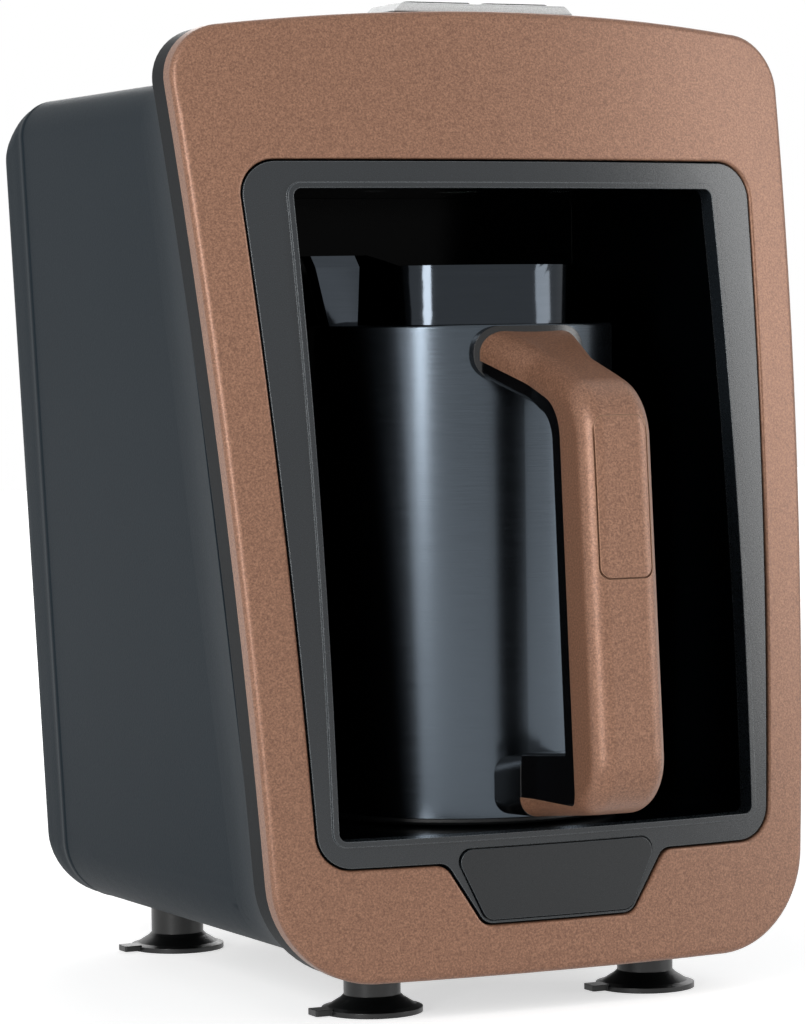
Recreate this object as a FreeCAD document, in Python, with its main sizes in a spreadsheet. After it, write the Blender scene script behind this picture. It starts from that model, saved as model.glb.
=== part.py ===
import FreeCAD, Part
import math
import os
import re
import Sketcher

# Electric coffee maker with a steel jug that stands in its niche. Millimetres, +Z up. The machine
# faces -Y, where the jug's handle points, and +X is to the right of someone who faces its front.
# The origin lies on the table, under the middle of the whole machine's box.

V = FreeCAD.Vector
doc = FreeCAD.newDocument("coffee_maker")

# Driving dimensions
SIZES = {
    # The curved face: a round profile, plumb at one height, turned about an upright axis
    "face_front": -63.45,
    "face_plan_radius": 364.0,
    "face_profile_radius": 1000.0,
    "face_plumb_height": -4.0,
    "cut_reach": 60.0,
    "cut_low": -12.0,
    "cut_high": 250.0,
    # Painted front frame
    "frame_low": 9.8,
    "frame_high": 230.2,
    "frame_half_low": 67.3,
    "frame_half_high": 79.9,
    "frame_arch_radius": 620.0,
    "frame_round_low": 24.0,
    "frame_round_high": 13.0,
    "frame_middle": 120.0,
    "frame_wall": 2.4,
    "frame_skirt": 4.5,
    "frame_edge_round": 1.7,
    "window_edge_round": 0.6,
    "seam_gap": 0.3,
    "hole_gap": 0.2,
    "fit_gap": 0.05,
    # Window in the frame and the bezel that fills it
    "window_low": 35.7,
    "window_high": 195.6,
    "window_half_low": 58.2,
    "window_half_high": 66.6,
    "window_round": 8.5,
    "tab_low": 21.5,
    "tab_half_low": 19.3,
    "tab_half_high": 28.3,
    "tab_round": 4.0,
    "bezel_gap": 0.5,
    "bezel_sink": 0.4,
    "bezel_depth": 4.3,
    "lip_width": 1.3,
    "lip_rise": 0.7,
    # Niche that takes the jug
    "niche_low": 42.3,
    "niche_high": 189.0,
    "niche_half_low": 53.4,
    "niche_half_high": 54.4,
    "niche_round": 2.0,
    "niche_back": 29.15,
    "niche_wall": 2.0,
    "niche_floor_thick": 2.0,
    "floor_edge_round": 1.2,
    # Blank badge plate on the bezel's tab
    "badge_low": 22.8,
    "badge_high": 39.0,
    "badge_half_low": 18.6,
    "badge_half_high": 26.4,
    "badge_round": 3.0,
    "badge_rise": 0.5,
    "badge_thick": 1.5,
    # Carrier ring behind the frame
    "carrier_start": 4.8,
    "carrier_end": 11.6,
    "pocket_gap": 0.6,
    # Outer shell
    "shell_start": 12.4,
    "shell_low": 13.6,
    "shell_high": 214.9,
    "shell_half_low": 63.8,
    "shell_half_high": 75.0,
    "shell_round_low": 16.0,
    "shell_round_high": 9.0,
    "shell_rear_low": 97.35,
    "shell_rear_high": 93.75,
    "shell_rear_round": 4.5,
    "shell_roof_round": 17.0,
    "shell_floor_round": 9.0,
    "shell_wall": 2.5,
    "flare_depth": 24.0,
    "flare_rake_run": 27.6,
    # Base plate
    "base_half": 47.0,
    "base_front": -46.4,
    "base_rear": 86.4,
    "base_thick": 2.5,
    "base_gap": 0.3,
    "base_round": 8.0,
    # Suction feet
    "foot_half_span": 35.9,
    "foot_front": -37.65,
    "foot_rear": 77.85,
    "foot_radius": 11.7,
    "foot_rim": 1.2,
    "foot_disc_high": 3.4,
    "foot_stem_radius": 6.6,
    "foot_hollow_high": 1.6,
    "foot_collar_radius": 8.4,
    "foot_collar_low": 11.4,
    "foot_tab_long": 3.6,
    "foot_tab_wide": 5.0,
    "foot_tab_thick": 1.4,
    # Control plate and keys on the top
    "deck_front": -30.05,
    "deck_rear": -14.05,
    "deck_half_low": 23.4,
    "deck_half_high": 21.2,
    "deck_low": 230.25,
    "deck_high": 232.3,
    "turret_low": 205.0,
    "turret_wall": 1.8,
    "key_gap": 0.35,
    "key_half_wide": 8.8,
    "key_half_deep": 5.2,
    "key_place": 10.2,
    "key_rise": 0.5,
    "key_round": 2.0,
    "key_travel": 1.2,
    "key_skirt": 3.4,
    "key_post_radius": 1.7,
    "spring_radius": 2.4,
    "spring_wire": 0.6,
    "spring_turns": 3.5,
    "wire_flats": 8,
    "wire_steps": 18,
    "board_thick": 1.6,
    "control_board_top": 218.0,
    "control_board_half": 21.0,
    "switch_side": 6.0,
    "switch_high": 3.6,
    "switch_stem_radius": 1.5,
    "switch_stem_high": 1.2,
    # Jug
    "jug_centre": -14.85,
    "jug_radius": 36.2,
    "jug_low": 44.2,
    "jug_high": 157.7,
    "jug_wall": 1.0,
    "jug_edge_round": 1.2,
    "jug_floor": 56.0,
    "jug_floor_gap": 0.35,
    "collar_radius": 29.6,
    "collar_wall": 1.8,
    "collar_high": 171.4,
    "spout_high": 174.0,
    "spout_reach": 39.6,
    "spout_reach_low": 36.0,
    "spout_half": 6.4,
    "spout_half_low": 5.4,
    "spout_nose": 2.4,
    "lip_flare": 1.2,
    "lip_start": 24.0,
    "lip_full": 29.0,
    "base_cap_high": 48.0,
    "heater_high": 3.0,
    "heater_radius": 27.0,
    "element_radius": 21.0,
    "element_tube": 2.2,
    "thermostat_radius": 7.0,
    "thermostat_high": 3.0,
    # Plug and socket between the jug and the machine
    "plug_half_wide": 10.0,
    "plug_low": 46.5,
    "plug_high": 54.5,
    "plug_gap": 0.5,
    "inlet_deep": 8.8,
    "pin_radius": 1.1,
    "pin_hole_gap": 0.4,
    "pin_pitch": 6.0,
    "pin_reach": 7.0,
    # Handle, measured from the jug's axis outwards
    "grip_half": 9.0,
    "grip_root_half": 13.4,
    "grip_root_reach": 52.0,
    "grip_top_root": 156.6,
    "grip_top_corner": 142.2,
    "grip_top_reach": 78.7,
    "grip_low_corner": 49.6,
    "grip_low_reach": 85.1,
    "grip_low_end": 45.6,
    "grip_low_end_reach": 48.0,
    "grip_low_top": 50.2,
    "grip_round_top": 15.0,
    "grip_round_low": 13.0,
    "grip_round_inner": 10.0,
    "liner_round": 7.0,
    "liner_low_round": 3.0,
    "grip_deep": 12.4,
    "grip_arm_deep": 7.2,
    "liner_deep": 5.0,
    "grip_edge_round": 4.6,
    "grip_root_round": 6.0,
    "loop_edge_round": 1.6,
    "loop_root_round": 4.2,
    "liner_inset": 0.4,
    "bracket_top": 61.8,
    "bracket_end_top": 60.2,
    "bracket_root_top": 57.6,
    "bracket_low": 44.6,
    "bracket_half": 9.8,
    "bracket_round": 4.0,
    "seat_high": 157.3,
    "seat_low": 144.6,
    "seat_thick": 2.2,
    "seat_round": 6.0,
    "seat_over": 0.8,
    "pad_low": 101.5,
    "pad_high": 137.4,
    "pad_half": 6.4,
    "pad_deep": 1.0,
    "pad_gap": 0.35,
    "pad_round": 2.4,
    # Electrics behind the niche
    "post_radius": 3.0,
    "post_long": 10.0,
    "post_floor": 0.6,
    "board_half": 42.0,
    "board_low": 60.0,
    "board_high": 150.0,
    "relay_left": -34.0,
    "relay_low": 112.0,
    "relay_wide": 19.0,
    "relay_deep": 15.5,
    "relay_high": 15.0,
    "coil_left": -4.0,
    "coil_low": 108.0,
    "coil_wide": 26.0,
    "coil_high": 22.0,
    "coil_deep": 20.0,
    "bobbin_inset": 3.0,
    "capacitor_across": 30.0,
    "capacitor_height": 90.0,
    "capacitor_radius": 6.3,
    "capacitor_long": 20.0,
    "terminal_left": -34.0,
    "terminal_low": 66.0,
    "terminal_wide": 24.0,
    "terminal_high": 10.0,
    "terminal_deep": 12.0,
    "buzzer_radius": 6.0,
    "buzzer_high": 6.5,
    "lens_radius": 5.0,
    "lens_thick": 1.6,
    "lamp_radius": 2.6,
    "lamp_place": 24.0,
    "lamp_ahead": 6.0,
    "sensor_board_half": 32.0,
    "sensor_board_rise": 8.2,
    "sensor_board_front": 12.0,
    "sensor_board_deep": 23.0,
    "gland_radius": 6.5,
    "gland_bore": 3.3,
    "gland_flange": 9.0,
    "gland_height": 34.0,
    "gland_place": 40.0,
    "gland_out": 1.8,
    # Screws
    "screw_radius": 1.5,
    "screw_head_radius": 2.9,
    "screw_head_high": 2.0,
    "screw_long": 9.0,
    "boss_radius": 4.0,
    "boss_high": 12.0,
    "boss_inset": 7.0,
    "rib_thick": 3.0,
    "head_gap": 0.2,
    "handle_screw_low": 51.5,
    "handle_screw_high": 151.3,
    "ledge_wide": 2.4,
    "ledge_high": 2.0,
    "pocket_low": 207.0,
}

sheet = doc.addObject("Spreadsheet::Sheet", "sizes")
for row, (name, size) in enumerate(SIZES.items(), start=1):
    sheet.set("A%d" % row, name)
    sheet.set("B%d" % row, str(size))
    sheet.setAlias("B%d" % row, name)
doc.recompute()

pieces = []


def qualify(text):
    """Put the sheet's name in front of every alias in an expression."""
    return re.sub(r"[A-Za-z_]\w*", lambda m: "sizes." + m.group(0) if m.group(0) in SIZES else m.group(0),
                  text)


def value(text):
    """Number that an expression of aliases gives."""
    return float(sheet.evalExpression(qualify(str(text))))


def bind(thing, prop, text):
    thing.setExpression(prop, qualify(str(text)))


def place(thing, x="0", y="0", z="0", turn=None):
    if turn:
        thing.Placement = FreeCAD.Placement(V(0, 0, 0), FreeCAD.Rotation(*turn))
    for axis, text in (("x", x), ("y", y), ("z", z)):
        bind(thing, "Placement.Base." + axis, text)


def keep(thing, label):
    thing.Label = label
    pieces.append(thing)
    return thing


# Sketches and features of a body

ROLES = {"XY": "XY_Plane", "XZ": "XZ_Plane", "YZ": "YZ_Plane"}


def new_body(name):
    return doc.addObject("PartDesign::Body", name)


def new_sketch(body, name, plane, shift=None, rise=None):
    """Sketch on one of the body's own origin planes; shift moves it along its own x, rise off the plane."""
    sketch = body.newObject("Sketcher::SketchObject", name)
    support = [f for f in body.Origin.OriginFeatures if f.Role == ROLES[plane]][0]
    sketch.AttachmentSupport = [(support, "")]
    sketch.MapMode = "FlatFace"
    if shift:
        bind(sketch, "AttachmentOffset.Base.x", shift)
    if rise:
        bind(sketch, "AttachmentOffset.Base.z", rise)
    return sketch


def pin_point(sketch, geo, end, x, y, name):
    """Hold one end of a sketch edge at two named distances from the sketch's origin."""
    for kind, text, tail in (("DistanceX", x, "_x"), ("DistanceY", y, "_y")):
        index = sketch.addConstraint(Sketcher.Constraint(kind, -1, 1, geo, end, value(text)))
        sketch.renameConstraint(index, name + tail)
        bind(sketch, "Constraints." + name + tail, text)


def draw_outline(sketch, corners, arcs=None):
    """Closed outline through the corners; arcs gives an edge's index and the radius it bulges out with."""
    arcs = arcs or {}
    points = [V(value(x), value(y), 0) for x, y in corners]
    count = len(points)
    for i in range(count):
        a, b = points[i], points[(i + 1) % count]
        if i in arcs:
            radius = value(arcs[i])
            along = b - a
            out = V(along.y, -along.x, 0).normalize()
            centre = (a + b) * 0.5 - out * math.sqrt(radius ** 2 - along.Length ** 2 / 4)
            middle = centre + out * radius
            sketch.addGeometry(Part.Arc(a, middle, b))
        else:
            sketch.addGeometry(Part.LineSegment(a, b))
    for i in range(count):
        x, y = corners[i]
        start = 1
        if i in arcs:
            start = 1 if sketch.Geometry[i].StartPoint.distanceToPoint(points[i]) < 1e-6 else 2
        pin_point(sketch, i, start, x, y, "p%d" % i)
    for i in range(count):
        j = (i + 1) % count
        ends = []
        for k in (i, j):
            forward = sketch.Geometry[k].StartPoint.distanceToPoint(points[k]) < 1e-6
            ends.append((1, 2) if forward else (2, 1))
        sketch.addConstraint(Sketcher.Constraint("Coincident", i, ends[0][1], j, ends[1][0]))
    for i, text in arcs.items():
        index = sketch.addConstraint(Sketcher.Constraint("Radius", i, value(text)))
        sketch.renameConstraint(index, "r%d" % i)
        bind(sketch, "Constraints.r%d" % i, text)


def draw_circle(sketch, x, y, radius, name="c"):
    geo = sketch.addGeometry(Part.Circle(V(value(x), value(y), 0), V(0, 0, 1), value(radius)))
    pin_point(sketch, geo, 3, x, y, name)
    index = sketch.addConstraint(Sketcher.Constraint("Radius", geo, value(radius)))
    sketch.renameConstraint(index, name + "_r")
    bind(sketch, "Constraints." + name + "_r", radius)


def add_feature(body, kind, name, sketch=None, **settings):
    feature = body.newObject("PartDesign::" + kind, name)
    if sketch:
        feature.Profile = sketch
        sketch.Visibility = False
    for prop, setting in settings.items():
        if isinstance(setting, str) and prop in ("Length", "Length2", "Angle", "Radius", "Size", "Diameter",
                                                 "Depth"):
            bind(feature, prop, setting)
        else:
            setattr(feature, prop, setting)
    doc.recompute()
    return feature


def fillet(body, radius, chosen, name="Fillet"):
    """Round the edges of the body's tip that the test chooses."""
    tip = body.Tip
    names = ["Edge%d" % (i + 1) for i, edge in enumerate(tip.Shape.Edges) if chosen(edge)]
    feature = body.newObject("PartDesign::Fillet", name)
    feature.Base = (tip, names)
    bind(feature, "Radius", radius)
    doc.recompute()
    return feature


def along(direction):
    """Test for straight edges along a direction."""
    def chosen(edge):
        if not isinstance(edge.Curve, Part.Line):
            return False
        return abs(abs(edge.Curve.Direction.dot(direction)) - 1) < 1e-6
    return chosen


def pad_outline(name, corners, front, rear, rounds, arcs=None):
    """Body padded along Y between two depths from an outline in X and Z, with its corners rounded."""
    body = new_body(name)
    sketch = new_sketch(body, name + "_outline", "XZ", rise="-(%s)" % front)
    draw_outline(sketch, corners, arcs)
    add_feature(body, "Pad", name + "_pad", sketch, Length="(%s) - (%s)" % (rear, front), Reversed=True)
    for i, (radius, chosen) in enumerate(rounds):
        fillet(body, radius, lambda e, c=chosen: along(V(0, 1, 0))(e) and c(e.Vertexes[0].Point),
               name + "_round%d" % i)
    return body


def face_cut(body, depth, behind, name):
    """Trim a body on the curved face sunk by depth: all in front of it goes, or all behind it."""
    sketch = new_sketch(body, name, "YZ", shift="face_front + face_plan_radius")
    radius = "(face_profile_radius - (%s))" % depth
    centre = "(face_profile_radius - face_plan_radius)"

    def arc_x(level):
        return "%s - sqrt(%s^2 - (%s - face_plumb_height)^2)" % (centre, radius, level)

    far = "0" if behind else "-(face_plan_radius + cut_reach)"
    corners = [(arc_x("cut_high"), "cut_high"), (arc_x("cut_low"), "cut_low"), (far, "cut_low"),
               (far, "cut_high")]
    points = [V(value(x), value(y), 0) for x, y in corners]
    middle = V(value(arc_x("(cut_low + cut_high) / 2")), value("(cut_low + cut_high) / 2"), 0)
    sketch.addGeometry(Part.Arc(points[0], middle, points[1]))
    forward = sketch.Geometry[0].StartPoint.distanceToPoint(points[0]) < 1e-6
    first, second = (1, 2) if forward else (2, 1)
    for i in (1, 2, 3):
        sketch.addGeometry(Part.LineSegment(points[i], points[(i + 1) % 4]))
    pin_point(sketch, 0, first, *corners[0], "top")
    pin_point(sketch, 0, second, *corners[1], "low")
    pin_point(sketch, 1, 2, *corners[2], "farlow")
    pin_point(sketch, 2, 2, *corners[3], "fartop")
    sketch.addConstraint(Sketcher.Constraint("Coincident", 0, second, 1, 1))
    sketch.addConstraint(Sketcher.Constraint("Coincident", 1, 2, 2, 1))
    sketch.addConstraint(Sketcher.Constraint("Coincident", 2, 2, 3, 1))
    sketch.addConstraint(Sketcher.Constraint("Coincident", 3, 2, 0, first))
    index = sketch.addConstraint(Sketcher.Constraint("Radius", 0, value(radius)))
    sketch.renameConstraint(index, "bow")
    bind(sketch, "Constraints.bow", radius)
    add_feature(body, "Groove", name + "_groove", sketch, ReferenceAxis=(sketch, ["V_Axis"]), Angle="360")


def face_y(x, z, depth=0.0):
    """Depth in the row at which the curved face, sunk by depth, stands at x and z."""
    radius = value("face_profile_radius") - depth
    rise = z - value("face_plumb_height")
    plan = math.sqrt(radius ** 2 - rise ** 2) - value("face_profile_radius - face_plan_radius")
    return value("face_front + face_plan_radius") - math.sqrt(plan ** 2 - x ** 2)


# Primitives and booleans

def new_box(name, x, y, z, long, wide, high):
    box = doc.addObject("Part::Box", name)
    for prop, text in (("Length", long), ("Width", wide), ("Height", high)):
        bind(box, prop, text)
    place(box, x, y, z)
    return box


TO_Y = (V(1, 0, 0), -90)


def new_cylinder(name, radius, high, x="0", y="0", z="0", turn=None):
    cylinder = doc.addObject("Part::Cylinder", name)
    bind(cylinder, "Radius", radius)
    bind(cylinder, "Height", high)
    place(cylinder, x, y, z, turn)
    return cylinder


def new_tube(name, outer, inner, high, x="0", y="0", z="0", turn=None):
    return cut(name, new_cylinder(name + "_outer", outer, high, x, y, z, turn),
               new_cylinder(name + "_bore", inner, high, x, y, z, turn))


def cut(name, base, *tools):
    tool = tools[0] if len(tools) == 1 else fuse(name + "_tools", *tools)
    result = doc.addObject("Part::Cut", name)
    result.Base, result.Tool = base, tool
    return result


def fuse(name, *shapes):
    result = doc.addObject("Part::MultiFuse", name)
    result.Shapes = list(shapes)
    return result


def common(name, base, tool):
    result = doc.addObject("Part::Common", name)
    result.Base, result.Tool = base, tool
    return result


def copies(name, source, spots):
    """One node of separate, identical solids: the source repeated at each spot, given as expressions."""
    doc.recompute()
    solids = []
    for spot in spots:
        solid = source.Shape.copy()
        solid.translate(V(*[value(text) for text in spot]))
        solids.append(solid)
    result = doc.addObject("Part::Feature", name)
    result.Shape = Part.makeCompound(solids)
    return result


def from_shape(name, shape):
    result = doc.addObject("Part::Feature", name)
    result.Shape = shape
    return result


# Outlines that several pieces share


def below(level):
    """Test for points under a level."""
    return lambda p: p.z < value(level)


def above(level):
    """Test for points at a level or over it."""
    return lambda p: p.z >= value(level)


def side_half(level, low, high, half_low, half_high):
    """Half width at a level on a side that leans outwards towards the top."""
    return "(%s) + ((%s) - (%s)) * ((%s) - (%s)) / ((%s) - (%s))" % (
        half_low, half_high, half_low, level, low, high, low)


FRAME_SHOULDER = "(frame_high - frame_arch_radius + sqrt(frame_arch_radius^2 - frame_half_high^2))"


def frame_outline(inset):
    """Corners of the frame's outline, drawn in by inset; its last but one edge is the arched top."""
    half_low = "(frame_half_low - (%s))" % inset
    half_high = "(frame_half_high - (%s))" % inset
    low = "(frame_low + (%s))" % inset
    shoulder = "(%s - (%s))" % (FRAME_SHOULDER, inset)
    return [("-" + half_low, low), (half_low, low), (half_high, shoulder), ("-" + half_high, shoulder)]


def frame_blank(name, inset, front, rear):
    return pad_outline(
        name, frame_outline(inset), front, rear,
        [("frame_round_low - (%s)" % inset, below("frame_middle")),
         ("frame_round_high - (%s)" % inset, above("frame_middle"))],
        arcs={2: "frame_arch_radius"})


def window_outline(inset):
    half_low = "(window_half_low - (%s))" % inset
    half_high = "(window_half_high - (%s))" % inset
    low = "(window_low + (%s))" % inset
    high = "(window_high - (%s))" % inset
    return [("-" + half_low, low), ("-(tab_half_high - (%s))" % inset, low),
            ("-(tab_half_low - (%s))" % inset,
            "(tab_low + (%s))" % inset), ("tab_half_low - (%s)" % inset, "(tab_low + (%s))" % inset),
            ("tab_half_high - (%s)" % inset, low), (half_low, low), (half_high, high),
            ("-" + half_high, high)]


def window_blank(name, inset, front, rear):
    tab_reach = value("tab_half_high") + 4
    return pad_outline(name, window_outline(inset), front, rear, [
        ("window_round - (%s)" % inset, lambda p: abs(p.x) > tab_reach),
        ("tab_round - (%s)" % inset, lambda p: abs(p.x) <= tab_reach)])


def niche_blank(name, inset, front, rear):
    """Block of the niche's own shape, wider than the niche by a negative inset."""
    low, high = "(niche_low + (%s))" % inset, "(niche_high - (%s))" % inset
    half_low, half_high = "(niche_half_low - (%s))" % inset, "(niche_half_high - (%s))" % inset
    corners = [("-" + half_low, low), (half_low, low), (half_high, high), ("-" + half_high, high)]
    return pad_outline(name, corners, front, rear, [("niche_round - (%s)" % inset, lambda p: True)])


AHEAD = "(face_front - 12)"
FAR_BACK = "(face_front + 80)"

# Front frame: a shallow painted pan with the window cut through it

frame_body = frame_blank("frame_block", "0", AHEAD, FAR_BACK)
face_cut(frame_body, "0", False, "frame_face")
face_cut(frame_body, "frame_skirt", True, "frame_back")
frame_hollow = frame_blank("frame_hollow", "frame_wall", AHEAD, FAR_BACK)
face_cut(frame_hollow, "frame_wall", False, "frame_hollow_face")
frame_window = window_blank("frame_window", "0", AHEAD, FAR_BACK)
sharp_frame = cut("sharp_frame", frame_body, frame_hollow, frame_window)


def face_depth(point):
    """How far a point lies behind the curved face, along the face's own radius."""
    centre = value("face_profile_radius - face_plan_radius")
    across = math.hypot(point.x, point.y - value("face_front + face_plan_radius"))
    return value("face_profile_radius") - math.hypot(across + centre, point.z - value("face_plumb_height"))


def middle_of(edge):
    return edge.valueAt((edge.FirstParameter + edge.LastParameter) / 2)


def in_window(point):
    """Whether a point of the face lies on the window's outline and not on the frame's own."""
    wide = abs(point.x) < value("window_half_high") + 0.5 and point.z < value("window_high") + 0.5
    in_tab = abs(point.x) < value("tab_half_high") + 1 and point.z > value("tab_low") - 1
    return wide and (point.z > value("window_low") - 3 or in_tab)


def frame_shape():
    """The frame with its face's edges rounded, more at the outline than at the window."""
    doc.recompute()
    shape = sharp_frame.Shape
    for radius, at_window in (("frame_edge_round", False), ("window_edge_round", True)):
        edges = [edge for edge in shape.Edges
                 if not isinstance(edge.Curve, Part.Line) and abs(face_depth(middle_of(edge))) < 0.05
                 and in_window(middle_of(edge)) == at_window]
        shape = shape.makeFillet(value(radius), edges)
    return shape


front_frame = keep(from_shape("frame_rounded", frame_shape()), "front_frame")

# Bezel with its tab, and a thin raised lip round the niche's mouth

bezel_body = window_blank("bezel_block", "bezel_gap", AHEAD, FAR_BACK)
face_cut(bezel_body, "bezel_sink", False, "bezel_face")
face_cut(bezel_body, "bezel_sink + bezel_depth", True, "bezel_back")
lip_body = niche_blank("lip_block", "-lip_width", AHEAD, FAR_BACK)
face_cut(lip_body, "bezel_sink - lip_rise", False, "lip_face")
face_cut(lip_body, "bezel_sink + 0.5", True, "lip_back")
bezel_mouth = niche_blank("bezel_mouth", "0", AHEAD, FAR_BACK)
badge_seat = pad_outline(
    "badge_seat",
    [("-(badge_half_low + seam_gap)", "badge_low - seam_gap"),
     ("badge_half_low + seam_gap", "badge_low - seam_gap"),
     ("badge_half_high + seam_gap", "badge_high + seam_gap"),
     ("-(badge_half_high + seam_gap)", "badge_high + seam_gap")],
    AHEAD, FAR_BACK, [("badge_round", lambda p: True)])
face_cut(badge_seat, "bezel_sink + badge_thick", True, "badge_seat_back")
window_bezel = keep(
    cut("window_bezel_cut", fuse("bezel_lipped", bezel_body, lip_body), bezel_mouth, badge_seat),
    "window_bezel")

badge_body = pad_outline(
    "badge_block",
    [("-badge_half_low", "badge_low"), ("badge_half_low", "badge_low"),
     ("badge_half_high", "badge_high"), ("-badge_half_high", "badge_high")],
    AHEAD, FAR_BACK, [("badge_round", lambda p: True)])
face_cut(badge_body, "bezel_sink - badge_rise", False, "badge_face")
face_cut(badge_body, "bezel_sink + badge_thick", True, "badge_back")
keep(badge_body, "badge_plate")

# Carrier: the thick ring that the frame, the bezel and the niche liner are fixed to

carrier_body = frame_blank("carrier_block", "seam_gap", AHEAD, FAR_BACK)
face_cut(carrier_body, "carrier_start", False, "carrier_face")
face_cut(carrier_body, "carrier_end", True, "carrier_back")
carrier_mouth = niche_blank("carrier_mouth", "-(niche_wall + hole_gap)", AHEAD, FAR_BACK)
key_pocket = new_box("key_pocket", "-(control_board_half + pocket_gap)", "deck_front + 1", "pocket_low",
                     "2 * (control_board_half + pocket_gap)", "40", "frame_high + 5 - pocket_low")
keep(cut("front_carrier_cut", carrier_body, carrier_mouth, key_pocket), "front_carrier")

# Niche liner: a tube with a back wall, butted against the bezel, and posts for the power board

LAMP_Y = "jug_centre - lamp_ahead"

liner_outer = niche_blank("liner_outer", "-niche_wall", AHEAD, "niche_back + niche_wall")
face_cut(liner_outer, "carrier_start", False, "liner_face")
liner_inner = niche_blank("liner_inner", "0", AHEAD, "niche_back")
post_spots = [(x, z) for x in ("-(board_half - boss_radius)", "board_half - boss_radius")
              for z in ("board_low + boss_radius", "board_high - boss_radius")]
posts = [new_cylinder("post%d" % i, "post_radius", "post_long + niche_wall / 2", x,
                      "niche_back + niche_wall / 2", z, TO_Y)
         for i, (x, z) in enumerate(post_spots)]
floor_slot = new_box("floor_slot", "-(niche_half_high + 5)", AHEAD, "niche_low - niche_wall - 5",
                     "2 * niche_half_high + 10", "niche_back - " + AHEAD, "niche_wall + 5")
plug_slot = new_box("plug_slot", "-(plug_half_wide + hole_gap)", "niche_back - 1", "plug_low - hole_gap",
                    "2 * (plug_half_wide + hole_gap)", "niche_wall + 2",
                    "plug_high - plug_low + 2 * hole_gap")
lens_hole = new_cylinder("lens_hole", "lens_radius + hole_gap", "niche_wall + 2", "0", "jug_centre",
                         "niche_high - 1")
lamp_holes = [new_cylinder("lamp_hole%d" % i, "lamp_radius + hole_gap", "niche_wall + 2", x, LAMP_Y,
                           "niche_high - 1") for i, x in enumerate(("-lamp_place", "lamp_place"))]
post_bores = [new_cylinder("post_bore%d" % i, "screw_radius + fit_gap", "post_long", x,
                           "niche_back + niche_wall + post_floor", z, TO_Y) for i,
              (x, z) in enumerate(post_spots)]
keep(cut("niche_liner_cut", fuse("liner_posted", liner_outer, *posts), liner_inner, floor_slot, plug_slot,
         lens_hole, *lamp_holes, *post_bores), "niche_liner")

floor_body = pad_outline(
    "floor_block",
    [("-niche_half_low", "niche_low - niche_floor_thick"), ("niche_half_low",
                                                            "niche_low - niche_floor_thick"),
     ("niche_half_low", "niche_low"), ("-niche_half_low", "niche_low")],
    AHEAD, "niche_back", [("floor_edge_round", lambda p: p.z < value("niche_low") - 1)])
face_cut(floor_body, "carrier_start", False, "floor_face")
keep(floor_body, "niche_floor")

# Outer shell: a straight tub behind, swept outwards in front to meet the carrier ring

def leaning_wire(half_low, half_high, low, crown, round_low, round_high, arch, rake, depth):
    """Outline with rounded corners and an arched top, on a plane that leans back by rake from a depth."""
    sag = arch - math.sqrt(arch ** 2 - (half_high - round_high) ** 2)
    high = crown - sag
    corners = [V(-half_low, 0, low), V(half_low, 0, low), V(half_high, 0, high), V(-half_high, 0, high)]
    rounds = [round_low, round_low, round_high, round_high]
    edges = []
    starts, ends, middles = [], [], []
    for i, corner in enumerate(corners):
        before = (corners[i - 1] - corner).normalize()
        after = (corners[(i + 1) % 4] - corner).normalize()
        half_turn = before.getAngle(after) / 2
        reach = rounds[i] / math.tan(half_turn)
        centre = corner + (before + after).normalize() * (rounds[i] / math.sin(half_turn))
        starts.append(corner + before * reach)
        ends.append(corner + after * reach)
        middles.append(centre + (corner - centre).normalize() * rounds[i])
    for i in range(4):
        edges.append(Part.Arc(starts[i], middles[i], ends[i]).toShape())
        j = (i + 1) % 4
        if i == 2:
            middle = (ends[i] + starts[j]) * 0.5 + V(0, 0, sag)
            edges.append(Part.Arc(ends[i], middle, starts[j]).toShape())
        else:
            edges.append(Part.LineSegment(ends[i], starts[j]).toShape())
    lean = FreeCAD.Matrix()
    lean.A23 = rake
    lean.A24 = depth
    return Part.Wire(edges).transformGeometry(lean)


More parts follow.
